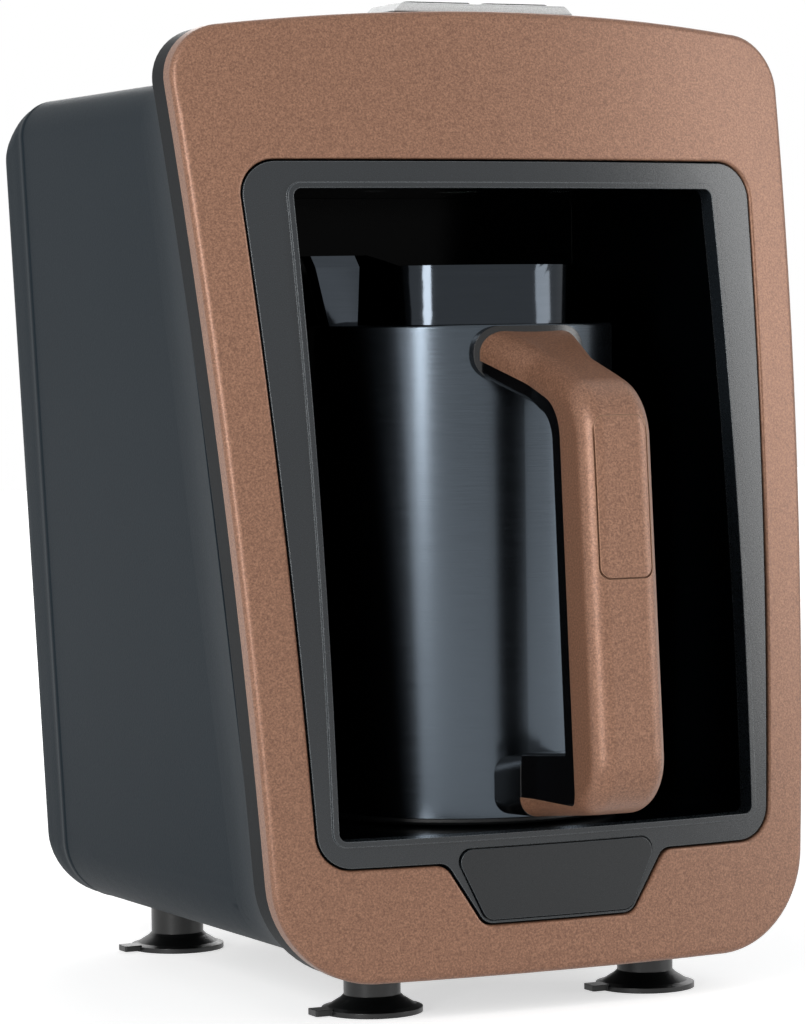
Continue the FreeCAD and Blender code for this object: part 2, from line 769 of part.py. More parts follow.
def shell_volume(inset):
    """Everything inside the shell's outer skin, drawn in all round by inset."""
    levels = {name: value(name) for name in (
        "frame_half_low", "frame_half_high", "frame_low", "frame_high", "shell_half_low", "shell_half_high",
        "shell_low", "shell_high", "frame_round_low", "frame_round_high", "shell_round_low",
        "shell_round_high")}
    low_gap = levels["shell_low"] - levels["frame_low"]
    top_gap = levels["frame_high"] - levels["shell_high"]
    side_gap = (levels["frame_half_high"] - levels["shell_half_high"] + levels["frame_half_low"]
                - levels["shell_half_low"]) / 2
    start = value("face_front + shell_start")
    depth = value("flare_depth")
    rake = value("flare_rake_run") / (value("frame_high") - value("frame_low"))
    wires = []
    for run in (-0.5, 0.0, 0.05, 0.12, 0.25, 0.45, 0.7, 1.0):
        # Shares of the side, top and bottom steps that the sweep has made at this run
        side, top, low = [1 - (1 - max(run, 0.0)) ** power for power in (2, 7, 3)]
        wires.append(leaning_wire(
            levels["frame_half_low"] - side * side_gap - inset,
            levels["frame_half_high"] - side * side_gap - inset,
            levels["frame_low"] + low * low_gap + inset, levels["frame_high"] - top * top_gap - inset,
            levels["frame_round_low"] + (levels["shell_round_low"] - levels["frame_round_low"]) * low - inset,
            levels["frame_round_high"] + (levels["shell_round_high"] - levels["frame_round_high"]) * low - inset,
            value("frame_arch_radius") * (1 + 60 * top), rake, start + run * depth))
    flare = Part.makeLoft(wires[:2], True, True).fuse(Part.makeLoft(wires[1:], True, False))
    # The rear wall leans in a little towards the top; roof, floor and sides turn into it on their own radii
    low, high = levels["shell_low"] + inset, levels["shell_high"] - inset
    half_low, half_high = levels["shell_half_low"] - inset, levels["shell_half_high"] - inset
    roof, floor, edge = [value(name) - inset for name in ("shell_roof_round", "shell_floor_round",
                                                          "shell_rear_round")]
    slope = (value("shell_rear_high") - value("shell_rear_low")) / (levels["shell_high"] - levels["shell_low"])
    rear = value("shell_rear_low") - inset - slope * levels["shell_low"]

    def half_at(level):
        return half_low + (half_high - half_low) * (level - low) / (high - low)

    sections = []
    for turn in (0, 10, 20, 30, 40, 50, 60, 70, 80, 90):
        run = roof * math.sin(math.radians(turn))
        drop = roof * (1 - math.cos(math.radians(turn)))
        rise = floor - math.sqrt(max(floor ** 2 - max(run - roof + floor, 0.0) ** 2, 0.0))
        draw = edge - math.sqrt(max(edge ** 2 - max(run - roof + edge, 0.0) ** 2, 0.0))
        sections.append(leaning_wire(
            half_at(low + rise) - draw, half_at(high - drop) - draw, low + rise, high - drop,
            levels["shell_round_low"] - inset - (rise + draw) / 2,
            levels["shell_round_high"] - inset - drop / 4,
            value("frame_arch_radius") * 61, slope, rear - roof + run))
    straight = Part.makeLoft([wires[-1], sections[0]], True, True)
    return flare.fuse([straight, Part.makeLoft(sections, True, False)]).removeSplitter()


def face_blade(depth, behind=False):
    """Solid on one side of the curved face sunk by depth, used to trim plain shapes."""
    radius = value("face_profile_radius") - depth
    centre = value("face_profile_radius - face_plan_radius")
    axis = value("face_front + face_plan_radius")
    low, high = value("cut_low") - 30, value("cut_high") + 30

    def point(level):
        return V(0, axis + centre - math.sqrt(radius ** 2 - (level - value("face_plumb_height")) ** 2), level)

    arc = Part.Arc(point(low), point((low + high) / 2), point(high)).toShape()
    far = axis if behind else axis - value("face_plan_radius + cut_reach")
    rest = Part.makePolygon([point(high), V(0, far, high), V(0, far, low), point(low)])
    face = Part.Face(Part.Wire([arc] + rest.Edges))
    return face.revolve(V(0, axis, 0), V(0, 0, 1), 360)


def block(x0, x1, y0, y1, z0, z1):
    texts = [value(t) for t in (x0, x1, y0, y1, z0, z1)]
    return Part.makeBox(texts[1] - texts[0], texts[3] - texts[2], texts[5] - texts[4],
                        V(texts[0], texts[2], texts[4]))


def rod(radius, start, end):
    """Round bar between two points."""
    way = end - start
    return Part.makeCylinder(radius, way.Length, start, way)


def make_shell():
    wall = value("shell_wall")
    outer = shell_volume(0.0)
    inner = shell_volume(wall)
    shell = outer.cut(inner)
    # Turret under the control plate, hollow, and its opening for the keys' boards
    turret = block("-(deck_half_low + 1)", "deck_half_low + 1", "deck_front + 1", "deck_rear + 1",
                   "turret_low", "deck_low - hole_gap")
    hollow = block("-(deck_half_low + 1 - turret_wall)", "deck_half_low + 1 - turret_wall", "deck_front - 20",
                   "deck_rear + 1 - turret_wall", "turret_low - 4", "deck_low - turret_wall")
    shell = shell.fuse(turret).cut(hollow)
    for sign in (-1, 1):
        half, deep = value("key_half_wide + key_gap"), value("key_half_deep + key_gap")
        middle = (value("deck_front") + value("deck_rear")) / 2
        x = sign * value("key_place")
        well = Part.makeBox(2 * half + 1, 2 * deep + 1, 12, V(x - half - 0.5, middle - deep - 0.5,
                                                              value("deck_low") - 8))
        shell = shell.cut(well)
    for x0, x1 in (("-(deck_half_low + 1.2 - turret_wall)", "-(deck_half_low + 1.2 - turret_wall - ledge_wide)"),
                   ("deck_half_low + 1.2 - turret_wall - ledge_wide", "deck_half_low + 1.2 - turret_wall")):
        shell = shell.fuse(block(x0, x1, "deck_front + 2", "deck_rear + 0.5",
                                 "control_board_top - board_thick - fit_gap - ledge_high",
                                 "control_board_top - board_thick - fit_gap"))
    shell = shell.cut(face_blade(value("shell_start")))
    # Opening for the base plate
    opening = Part.makeBox(2 * (value("base_half + base_gap")),
                           value("base_rear - base_front + 2 * base_gap"),
                           value("shell_wall") + 6, V(-value("base_half + base_gap"),
                                                      value("base_front - base_gap"),
                                                      value("shell_low") - 3))
    opening = opening.makeFillet(value("base_round + base_gap"),
                                 [e for e in opening.Edges if abs(e.tangentAt(0).z) > 0.9])
    shell = shell.cut(opening)
    gland = rod(value("gland_radius"), V(value("gland_place"), 60, value("gland_height")),
                V(value("gland_place"), 140, value("gland_height")))
    shell = shell.cut(gland)
    # Ribbed bosses that take the base plate's screws
    boss_low = value("shell_low + base_thick + base_gap")
    boss_top = boss_low + value("boss_high")
    for x_text, y_text in boss_spots:
        x, y = value(x_text), value(y_text)
        side = math.copysign(1.0, x)
        half_rib = value("rib_thick") / 2
        ends = sorted((x, side * value("shell_half_high")))
        rib = Part.makeBox(ends[1] - ends[0], 2 * half_rib, boss_top - boss_low,
                           V(ends[0], y - half_rib, boss_low))
        boss = rod(value("boss_radius"), V(x, y, boss_low), V(x, y, boss_top))
        bore = rod(value("screw_radius + fit_gap"), V(x, y, boss_low - 1), V(x, y, boss_top - 1))
        shell = shell.fuse(boss.fuse(rib).common(outer)).cut(bore)
    return shell


boss_spots = [(x, y) for x in ("-(base_half - boss_inset)", "base_half - boss_inset")
              for y in ("base_front + boss_inset + 14", "base_rear - boss_inset - 14")]
outer_shell = keep(from_shape("outer_shell_skin", make_shell()), "outer_shell")

# Base plate, its screws and the suction feet

base_body = new_body("base_block")
base_sketch = new_sketch(base_body, "base_outline", "XY", rise="shell_low")
draw_outline(base_sketch, [("-base_half", "base_front"), ("base_half", "base_front"),
                           ("base_half", "base_rear"), ("-base_half", "base_rear")])
add_feature(base_body, "Pad", "base_pad", base_sketch, Length="base_thick")
fillet(base_body, "base_round", along(V(0, 0, 1)), "base_corners")
foot_spots = [(x, y) for x in ("-foot_half_span", "foot_half_span") for y in ("foot_front", "foot_rear")]
foot_holes = [new_cylinder("foot_hole%d" % i, "foot_stem_radius + seam_gap", "base_thick + 4", x, y,
                           "shell_low - 2")
              for i, (x, y) in enumerate(foot_spots)]
screw_holes = [new_cylinder("screw_hole%d" % i, "screw_radius + hole_gap", "base_thick + 4", x, y,
                            "shell_low - 2")
               for i, (x, y) in enumerate(boss_spots)]
keep(cut("base_plate_cut", base_body, *foot_holes, *screw_holes), "base_plate")


def screw_shape():
    """Pan-head screw pointing up from its head's top, with a cross recess."""
    head = Part.makeCylinder(value("screw_head_radius"), value("screw_head_high"))
    head = head.makeFillet(0.6, [e for e in head.Edges if e.CenterOfMass.z < 0.01 and e.Length > 6])
    shank = Part.makeCylinder(value("screw_radius"), value("screw_long + screw_head_high"))
    screw = head.fuse(shank)
    for turn in (0, 90):
        bar = Part.makeBox(value("screw_head_radius") * 1.2, 0.7, 1.1,
                           V(-value("screw_head_radius") * 0.6, -0.35, -0.1))
        bar.rotate(V(0, 0, 0), V(0, 0, 1), turn)
        screw = screw.cut(bar)
    return screw


screw = from_shape("screw_form", screw_shape())
keep(copies("base_screw_set", screw, [(x, y, "shell_low - screw_head_high") for x, y in boss_spots]),
     "base_screws")


def foot_shape():
    """Soft suction disc on a stem, dished underneath, with a small release tab at its rim."""
    disc, rim, high = value("foot_radius"), value("foot_rim"), value("foot_disc_high")
    stem, hollow = value("foot_stem_radius"), value("foot_hollow_high")
    top = value("shell_low + base_thick + 1.6")
    outline = [V(0, 0, hollow), V(disc * 0.55, 0, hollow * 0.75), V(disc - 0.8, 0, 0), V(disc, 0, 0),
               V(disc, 0, rim),
               V(disc - 1.6, 0, rim + 0.5), V(stem + 0.8, 0, high), V(stem, 0, high + 0.8),
               V(stem, 0, top - 0.8),
               V(stem - 0.8, 0, top), V(0, 0, top)]
    foot = Part.Face(Part.makePolygon(outline + [outline[0]])).revolve(V(0, 0, 0), V(0, 0, 1), 360)
    tab = Part.makeBox(value("foot_tab_long") + 1, value("foot_tab_wide"), value("foot_tab_thick"),
                       V(-value("foot_radius + foot_tab_long"), -value("foot_tab_wide") / 2, 0.2))
    tab = tab.makeFillet(0.6, [e for e in tab.Edges if abs(e.tangentAt(0).z) > 0.9])
    return foot.fuse(tab)


foot = from_shape("foot_form", foot_shape())
keep(copies("foot_set", foot, [(x, y, "0") for x, y in foot_spots]), "suction_feet")
foot_collar = new_tube("foot_collar_form", "foot_collar_radius", "foot_stem_radius + fit_gap",
                       "shell_low - foot_collar_low")
keep(copies("foot_collar_set", foot_collar, [(x, y, "foot_collar_low") for x, y in foot_spots]),
     "foot_collars")

# Control plate, two sprung keys, their switches and board

DECK_MIDDLE = "((deck_front + deck_rear) / 2)"


def deck_shape():
    """Low plate with sloping ends and two wells for the keys."""
    low, high = value("deck_half_low"), value("deck_half_high")
    outline = [V(-low, 0, value("deck_low")), V(low, 0, value("deck_low")),
               V(high, 0, value("deck_high")), V(-high, 0, value("deck_high"))]
    deck = Part.Face(Part.makePolygon(outline + [outline[0]])).extrude(V(0, value("deck_rear - deck_front"),
                                                                         0))
    deck.translate(V(0, value("deck_front"), 0))
    top = [e for e in deck.Edges if e.BoundBox.ZMin > value("deck_high") - 0.01 and abs(e.tangentAt(0).x) > 0.9]
    deck = deck.makeFillet(0.8, top)
    return deck


wells = []
for side, sign in (("left", "-"), ("right", "")):
    well = new_box("well_" + side, "%skey_place - key_half_wide - key_gap" % sign,
                   DECK_MIDDLE + " - key_half_deep - key_gap",
                   "deck_low - 2", "2 * (key_half_wide + key_gap)", "2 * (key_half_deep + key_gap)",
                   "deck_high - deck_low + 4")
    wells.append(well)
keep(cut("control_plate_cut", from_shape("deck_form", deck_shape()), *wells), "control_plate")


def key_body(name, sign):
    """Push key: a rounded cap with a short post under it that meets its switch."""
    body = new_body(name)
    outline = new_sketch(body, name + "_outline", "XY", rise="deck_high + key_rise - key_skirt")
    x0, x1 = "%skey_place - key_half_wide" % sign, "%skey_place + key_half_wide" % sign
    y0, y1 = DECK_MIDDLE + " - key_half_deep", DECK_MIDDLE + " + key_half_deep"
    draw_outline(outline, [(x0, y0), (x1, y0), (x1, y1), (x0, y1)])
    add_feature(body, "Pad", name + "_pad", outline, Length="key_skirt")
    fillet(body, "key_round", along(V(0, 0, 1)), name + "_corners")
    top = value("deck_high + key_rise")
    fillet(body, "key_round / 4", lambda e: e.BoundBox.ZMin > top - 0.01, name + "_rim")
    post = new_sketch(body, name + "_post", "XY", rise="deck_high + key_rise - key_skirt")
    draw_circle(post, "%skey_place" % sign, DECK_MIDDLE, "key_post_radius")
    add_feature(body, "Pad", name + "_post_pad", post, Reversed=True,
                Length="deck_high + key_rise - key_skirt - control_board_top - switch_high - switch_stem_high"
                       " - key_travel - seam_gap")
    return body


def spring_shape(sign):
    """Coil round a key's post, from the board's spring seat to the key's skirt, its wire drawn with flats."""
    low = value("control_board_top + switch_high + fit_gap")
    high = value("deck_high + key_rise - key_skirt - fit_gap")
    radius, turns, sides = value("spring_radius"), value("spring_turns"), int(value("wire_flats"))
    run = high - low - value("spring_wire")
    climb = math.atan2(run, 2 * math.pi * radius * turns)
    # The flats' corners stand out so far that the wire keeps its round section's area
    corner = value("spring_wire") / 2 * math.sqrt(2 * math.pi / (sides * math.sin(2 * math.pi / sides)))
    middle = V(sign * value("key_place"), value(DECK_MIDDLE), low + value("spring_wire") / 2)
    count = int(round(turns * value("wire_steps")))
    rings = []
    for i in range(count + 1):
        angle = 2 * math.pi * turns * i / count
        outward = V(math.cos(angle), math.sin(angle), 0)
        upward = V(math.sin(angle) * math.sin(climb), -math.cos(angle) * math.sin(climb), math.cos(climb))
        centre = middle + outward * radius + V(0, 0, run * i / count)
        bends = [2 * math.pi * k / sides for k in range(sides)]
        rings.append([centre + outward * (corner * math.cos(b)) + upward * (corner * math.sin(b)) for b in bends])
    faces = [Part.Face(Part.makePolygon(ring + [ring[0]])) for ring in (rings[0], rings[-1])]
    for ring, after in zip(rings, rings[1:]):
        for k in range(sides):
            j = (k + 1) % sides
            for a, b, c in ((ring[k], ring[j], after[j]), (ring[k], after[j], after[k])):
                faces.append(Part.Face(Part.makePolygon([a, b, c, a])))
    shell = Part.makeShell(faces)
    shell.sewShape()
    coil = Part.makeSolid(shell)
    if coil.Volume < 0:
        coil.reverse()
    return coil


for side, sign, text in (("brew", -1, "-"), ("power", 1, "")):
    keep(key_body(side + "_key_cap", text), side + "_key")
    keep(from_shape(side + "_coil", spring_shape(sign)), side + "_key_spring")

control_board = new_box("control_board_blank", "-control_board_half", DECK_MIDDLE + " - 6",
                        "control_board_top - board_thick", "2 * control_board_half", "12", "board_thick")
keep(control_board, "control_board")
switch_block = new_box("switch_block", "-switch_side / 2", "-switch_side / 2", "0", "switch_side",
                       "switch_side",
                       "switch_high")
switch_stem = new_cylinder("switch_stem", "switch_stem_radius", "switch_stem_high", "0", "0", "switch_high")
switch = fuse("switch_form", switch_block, switch_stem)
keep(copies("switch_set", switch, [("-key_place", DECK_MIDDLE, "control_board_top"),
                                   ("key_place", DECK_MIDDLE, "control_board_top")]), "key_switches")
buzzer = new_cylinder("buzzer_can", "buzzer_radius", "buzzer_high", "0", DECK_MIDDLE,
                      "control_board_top - board_thick - buzzer_high")
keep(buzzer, "buzzer")

# Sensor and lamps over the jug

keep(fuse("sensor_lens_form",
          new_cylinder("lens_plug", "lens_radius", "niche_wall", "0", "jug_centre", "niche_high"),
          new_cylinder("lens_flange", "lens_radius + 1.2", "lens_thick", "0", "jug_centre",
                       "niche_high + niche_wall")),
     "sensor_lens")
lamp = fuse("lamp_form", new_cylinder("lamp_plug", "lamp_radius", "niche_wall"),
            new_cylinder("lamp_flange", "lamp_radius + 0.9", "1", "0", "0", "niche_wall"))
keep(copies("lamp_set", lamp, [(x, LAMP_Y, "niche_high") for x in ("-lamp_place", "lamp_place")]),
     "lamp_lenses")
sensor_board = new_box("sensor_board_blank", "-sensor_board_half", "jug_centre - sensor_board_front",
                       "niche_high + sensor_board_rise", "2 * sensor_board_half", "sensor_board_deep",
                       "board_thick")
keep(sensor_board, "sensor_board")
sensor_eye = fuse(
    "sensor_eye_form",
    new_box("eye_block", "-4", "jug_centre - 4", "niche_high + sensor_board_rise - 3", "8", "8", "3"),
    new_cylinder("eye_barrel", "2.6", "1.2", "0", "jug_centre", "niche_high + sensor_board_rise - 4.2"))
keep(sensor_eye, "foam_sensor")
led = new_cylinder("led_form", "1.6", "3")
keep(copies("led_set", led, [(x, LAMP_Y, "niche_high + sensor_board_rise - 3")
                             for x in ("-lamp_place", "lamp_place")]), "lamp_leds")
short_post = new_cylinder("short_post", "2", "sensor_board_rise - niche_wall")
keep(copies("sensor_post_set", short_post, [(x, "jug_centre + 8", "niche_high + niche_wall")
                                            for x in ("-(sensor_board_half - 3.5)",
                                                      "sensor_board_half - 3.5")]),
     "sensor_board_posts")

# Jug: drawn steel body, glossy neck collar with a side spout, base cap and hidden heater

def turned(points, centre_y):
    """Solid turned about the upright axis through the jug's centre from radius and height pairs."""
    outline = [V(r, centre_y, z) for r, z in points]
    return Part.Face(Part.makePolygon(outline + [outline[0]])).revolve(V(0, centre_y, 0), V(0, 0, 1), 360)


JUG_Y = value("jug_centre")


def jug_shell_shape():
    r, wall, low, high = [value(n) for n in ("jug_radius", "jug_wall", "jug_low", "jug_high")]
    floor, neck = value("jug_floor"), value("collar_radius")
    shell = turned([(r, low), (r, high), (neck - 1, high), (neck - 1, high - wall), (r - wall, high - wall),
                    (r - wall, floor), (0, floor), (0, floor - wall), (r - wall, floor - wall),
                    (r - wall, low)], JUG_Y)
    rim = [e for e in shell.Edges if abs(e.BoundBox.ZMax - high) < 0.01 and e.BoundBox.XMax > r - 0.01]
    shell = shell.makeFillet(min(value("jug_edge_round"), wall * 0.9), rim)
    slot = Part.makeBox(value("2 * (plug_half_wide + seam_gap)"), 20,
                        value("plug_high - plug_low + 2 * seam_gap"),
                        V(-value("plug_half_wide + seam_gap"), JUG_Y + r - 10, value("plug_low - seam_gap")))
    return shell.cut(slot).cut(handle_screw_bores("fit_gap"))


def handle_screw_bores(gap):
    """Bars through the jug's wall into the handle, where its two screws run."""
    start = V(0, value("jug_centre - jug_radius") + 3, 0)
    return Part.makeCompound([rod(value("screw_radius + " + gap), start + V(0, 0, value(z)),
                                  start + V(0, -14, value(z)))
                              for z in ("handle_screw_low", "handle_screw_high")])


keep(from_shape("jug_shell_form", jug_shell_shape()), "jug_shell")


def collar_wire(radius, half, reach, nose, level):
    """Plan of the neck at a level: a circle with a beak of this half width that reaches out towards -X."""
    root = V(-math.sqrt(radius ** 2 - half ** 2), half, 0)
    tip = V(-(reach - nose), 0, 0)
    way = root - tip
    # Point where the beak's flank touches its rounded tip
    turn = math.atan2(way.y, way.x) + math.acos(nose / way.Length)
    touch = tip + V(nose * math.cos(turn), nose * math.sin(turn), 0)
    low_root, low_touch = [V(p.x, -p.y, 0) for p in (root, touch)]
    edges = [Part.Arc(low_root, V(radius, 0, 0), root).toShape(), Part.LineSegment(root, touch).toShape(),
             Part.Arc(touch, V(-reach, 0, 0), low_touch).toShape(),
             Part.LineSegment(low_touch, low_root).toShape()]
    wire = Part.Wire(edges)
    wire.translate(V(0, JUG_Y, level))
    return wire


def collar_volume(inset, over):
    """The neck's outer form, or its inside when drawn in by inset, carried past both ends by over."""
    low, rim, top = value("jug_high"), value("collar_high"), value("spout_high")
    radius, nose, flare = value("collar_radius") - inset, value("spout_nose") - inset / 2, value("lip_flare")
    half_low, half, reach_low, reach = [value(name) - inset for name in (
        "spout_half_low", "spout_half", "spout_reach_low", "spout_reach")]
    wires = [collar_wire(radius, half_low, reach_low, nose, low - over),
             collar_wire(radius, half, reach, nose, rim),
             collar_wire(radius + flare, half, reach + flare, nose, top + over)]
    return Part.makeLoft(wires, True, True)


def collar_shape():
    collar = collar_volume(0.0, 0.0).cut(collar_volume(value("collar_wall"), 1.0))
    # The rim is level, and its lip rises round the spout
    rim, top, reach = value("collar_high"), value("spout_high"), value("spout_reach") + 20
    blade = Part.makePolygon([V(-value("lip_full"), 0, top), V(-value("lip_start"), 0, rim), V(reach, 0, rim),
                              V(reach, 0, top + 9), V(-value("lip_full"), 0, top + 9),
                              V(-value("lip_full"), 0, top)])
    blade = Part.Face(blade).extrude(V(0, 2 * reach, 0))
    blade.translate(V(0, JUG_Y - reach, 0))
    return collar.cut(blade)


keep(from_shape("jug_collar_form", collar_shape()), "jug_collar")

INNER = "(jug_radius - jug_wall - 0.1)"
CAP_LOW = "niche_low + jug_floor_gap"


def base_cap_shape():
    inner, outer = value(INNER), value("jug_radius")
    low, top = value(CAP_LOW), value("base_cap_high")
    step = value("jug_low")
    cap = turned([(0, low + 1.6), (outer * 0.5, low + 1.6), (outer * 0.56, low), (outer - 0.8, low),
                  (outer - 0.2, low + 0.6),
                  (outer - 0.2, step - 0.2), (inner, step - 0.2), (inner, top), (inner - 2, top),
                  (inner - 2, low + 3.4),
                  (0, low + 3.4)], JUG_Y)
    slot = Part.makeBox(value("2 * (plug_half_wide + seam_gap)"), 20,
                        value("plug_high - plug_low + 2 * seam_gap"),
                        V(-value("plug_half_wide + seam_gap"), JUG_Y + outer - 14,
                          value("plug_low - seam_gap")))
    return cap.cut(slot)


keep(from_shape("base_cap_form", base_cap_shape()), "jug_base_cap")
HEATER_LOW = "jug_floor - jug_wall - heater_high"
keep(new_cylinder("heater_disc", "heater_radius", "heater_high", "0", "jug_centre", HEATER_LOW),
     "heater_plate")
element = Part.makeTorus(value("element_radius"), value("element_tube"),
                         V(0, JUG_Y, value(HEATER_LOW) - value("element_tube") * 0.9), V(0, 0, 1))
element = element.cut(Part.makeBox(14, 40, 12, V(-7, JUG_Y, value(HEATER_LOW) - 10)))
element = element.cut(Part.makeBox(80, 80, 10, V(-40, JUG_Y - 40, value(HEATER_LOW))))
keep(from_shape("element_form", element), "heater_element")
keep(new_cylinder("thermostat_can", "thermostat_radius", "thermostat_high", "0", "jug_centre",
                  HEATER_LOW + " - thermostat_high"), "jug_thermostat")

PIN_XS = ("-pin_pitch", "0", "pin_pitch")
PLUG_MIDDLE = "((plug_low + plug_high) / 2)"
inlet_block = new_box("inlet_block", "-plug_half_wide", "jug_centre + jug_radius - inlet_deep", "plug_low",
                      "2 * plug_half_wide", "inlet_deep + 2", "plug_high - plug_low")
inlet_trim = new_cylinder("inlet_trim", "jug_radius", "60", "0", "jug_centre", "20")
inlet_holes = [new_cylinder("inlet_hole%d" % i, "pin_radius + pin_hole_gap", "pin_reach + 4", x,
                            "jug_centre + jug_radius - pin_reach - 1", PLUG_MIDDLE, TO_Y)
               for i, x in enumerate(PIN_XS)]
keep(cut("jug_inlet_cut", common("inlet_rounded", inlet_block, inlet_trim), *inlet_holes), "jug_inlet")

PLUG_FACE = "jug_centre + jug_radius + plug_gap"
plug_holder = new_box("plug_block", "-plug_half_wide", PLUG_FACE, "plug_low", "2 * plug_half_wide",
                      "niche_back + niche_wall + 8 - (%s)" % PLUG_FACE, "plug_high - plug_low")
pin_holes = [new_cylinder("pin_hole%d" % i, "pin_radius", "40", x, "jug_centre + jug_radius - 2", PLUG_MIDDLE,
                          TO_Y)
             for i, x in enumerate(PIN_XS)]
keep(cut("jug_plug_cut", plug_holder, *pin_holes), "plug_holder")
pin = new_cylinder("pin_form", "pin_radius", "niche_back + niche_wall + 12 - (%s) + pin_reach" % PLUG_FACE,
                   "0", "0", "0", TO_Y)
keep(copies("pin_set", pin, [(x, PLUG_FACE + " - pin_reach", PLUG_MIDDLE) for x in PIN_XS]), "contact_pins")

# Handle: painted outer cover, dark liner inside the loop, seat, bracket, front pad and screws

OUT = "(jug_centre - jug_radius)"
TOP_SLOPE = "((grip_top_root - grip_top_corner) / (grip_top_reach - jug_radius))"
FRONT_SLOPE = "((grip_low_reach - grip_top_reach) / (grip_top_corner - grip_low_corner))"


def reach_at(level, deep):
    """Y of the handle's upright front at a level, sunk in by deep."""
    return "(jug_centre - grip_top_reach + (%s) - (grip_top_corner - (%s)) * %s)" % (deep, level, FRONT_SLOPE)


def arm_at(y, deep):
    """Height of the upper arm's top at a depth, sunk by deep."""
    return "(grip_top_root - (%s) - (jug_centre - jug_radius - (%s)) * %s)" % (deep, y, TOP_SLOPE)


INSIDE = "(jug_centre - jug_radius + 8)"
ARM_TURN = "(jug_centre - grip_top_reach + grip_deep - 0.6)"
COVER_END = "(jug_centre - grip_low_end_reach)"


def side_body(name, corners, half, rounds):
    """Body padded both ways across X from a side outline in Y and Z."""
    body = new_body(name)
    sketch = new_sketch(body, name + "_side", "YZ")
    draw_outline(sketch, corners)
    add_feature(body, "Pad", name + "_pad", sketch, Length="2 * (%s)" % half, SideType="Symmetric")
    for i, (radius, chosen) in enumerate(rounds):
        fillet(body, radius, lambda e, c=chosen: along(V(1, 0, 0))(e) and c(e.Vertexes[0].Point),
               name + "_round%d" % i)
    return body


def plan_body(name, extra):
    """Plan of the grip: parallel sides that widen where it meets the jug."""
    body = new_body(name)
    sketch = new_sketch(body, name + "_plan", "XY", rise="grip_low_end - 10")
    slim, wide = "(grip_half + (%s))" % extra, "(grip_root_half + (%s))" % extra
    start = "(jug_centre - grip_root_reach)"
    front = "(jug_centre - grip_low_reach - 8)"
    back = INSIDE
    draw_outline(sketch, [("-" + slim, front), (slim, front), (slim, start), (wide, OUT + " + 2"),
                          (wide, back),
                          ("-" + wide, back), ("-" + wide, OUT + " + 2"), ("-" + slim, start)])
    add_feature(body, "Pad", name + "_pad", sketch, Length="grip_top_root - grip_low_end + 30")
    fillet(body, "grip_round_top", lambda e: along(V(0, 0, 1))(e) and abs(e.Vertexes[0].Point.y - value(start)) < 1e-3,
           name + "_sweep")
    return body


def near(y, z, gap=3.0):
    """Test for points near a spot of the handle's side view."""
    return lambda p: abs(p.y - value(y)) < gap and abs(p.z - value(z)) < gap


LOOP_DEEP = "grip_arm_deep + liner_deep - 0.5"
LOOP_TURN = ARM_TURN + " + liner_deep"
handle_corners = [
    (INSIDE, arm_at(INSIDE, "0")), ("jug_centre - grip_top_reach", "grip_top_corner"),
    ("jug_centre - grip_low_reach", "grip_low_corner"), (COVER_END, "grip_low_end"),
    (COVER_END, "bracket_end_top"), (reach_at("bracket_top", "grip_deep + liner_deep"), "bracket_top"),
    (LOOP_TURN, arm_at(LOOP_TURN, LOOP_DEEP)), (INSIDE, arm_at(INSIDE, LOOP_DEEP))]
handle_side = side_body("handle_side", handle_corners, "grip_root_half + 4", [
    ("grip_round_top", near("jug_centre - grip_top_reach", "grip_top_corner")),
    ("grip_round_low", near("jug_centre - grip_low_reach", "grip_low_corner")),
    ("liner_round", near(LOOP_TURN, arm_at(LOOP_TURN, LOOP_DEEP), 1.0))])
# Zone inside the handle's loop that the liner takes
LOOP_FRONT = reach_at("grip_low_top", "grip_deep")
liner_zone = side_body("liner_zone", [
    ("jug_centre", arm_at("jug_centre", "grip_arm_deep")), (ARM_TURN, arm_at(ARM_TURN, "grip_arm_deep")),
    (LOOP_FRONT, "grip_low_top"), ("jug_centre", "grip_low_top")], "grip_root_half + 8", [
    ("grip_round_inner", near(ARM_TURN, arm_at(ARM_TURN, "grip_arm_deep"), 1.0)),
    ("liner_low_round", near(LOOP_FRONT, "grip_low_top", 1.0))])
jug_space = new_cylinder("jug_space", "jug_radius + seat_thick + fit_gap", "160", "0", "jug_centre", "20")
screw_space = from_shape("screw_space", handle_screw_bores("fit_gap"))
handle_blank = common("handle_blank", handle_side, plan_body("handle_plan", "0"))
liner_plan = plan_body("liner_plan", "-liner_inset")


def handle_round(point, root, grip):
    """Rounding at a point of the handle's edges: it grows from the upright grip to the arm's root."""
    turn = value("grip_top_corner - grip_round_top")
    share = (point.z - turn) / (value("grip_top_root") - turn)
    return value(grip) + (value(root) - value(grip)) * min(max(share, 0.0), 1.0)


def handle_edge_kind(edge):
    """Names of the root and grip radii for an edge between the skin and a flank, or nothing for other edges."""
    point = middle_of(edge)
    way = edge.tangentAt((edge.FirstParameter + edge.LastParameter) / 2)
    if abs(way.x) > 0.9 or abs(way.z) > 0.9999 or abs(point.x) < value("grip_half") - 1.5:
        return None
    y, z = str(point.y), str(point.z)
    front = point.y < value(reach_at(z, "0")) + 0.6
    over = point.z > value(arm_at(y, "0")) - 0.6
    under = point.z < value("grip_low_top") + 1 and point.y < value(COVER_END) - 1
    rounded = point.y < value(reach_at(z, "grip_deep")) - 5
    if front or over or under or rounded:
        return "grip_root_round", "grip_edge_round"
    return "loop_root_round", "loop_edge_round"


doc.recompute()
handle_rounded = doc.addObject("Part::Fillet", "handle_rounded")
handle_rounded.Base = handle_blank
handle_rounds = []
for number, edge in enumerate(handle_blank.Shape.Edges, start=1):
    kind = handle_edge_kind(edge)
    if kind:
        ends = [handle_round(edge.valueAt(at), *kind) for at in (edge.FirstParameter, edge.LastParameter)]
        handle_rounds.append((number, ends[0], ends[1]))
handle_rounded.Edges = handle_rounds


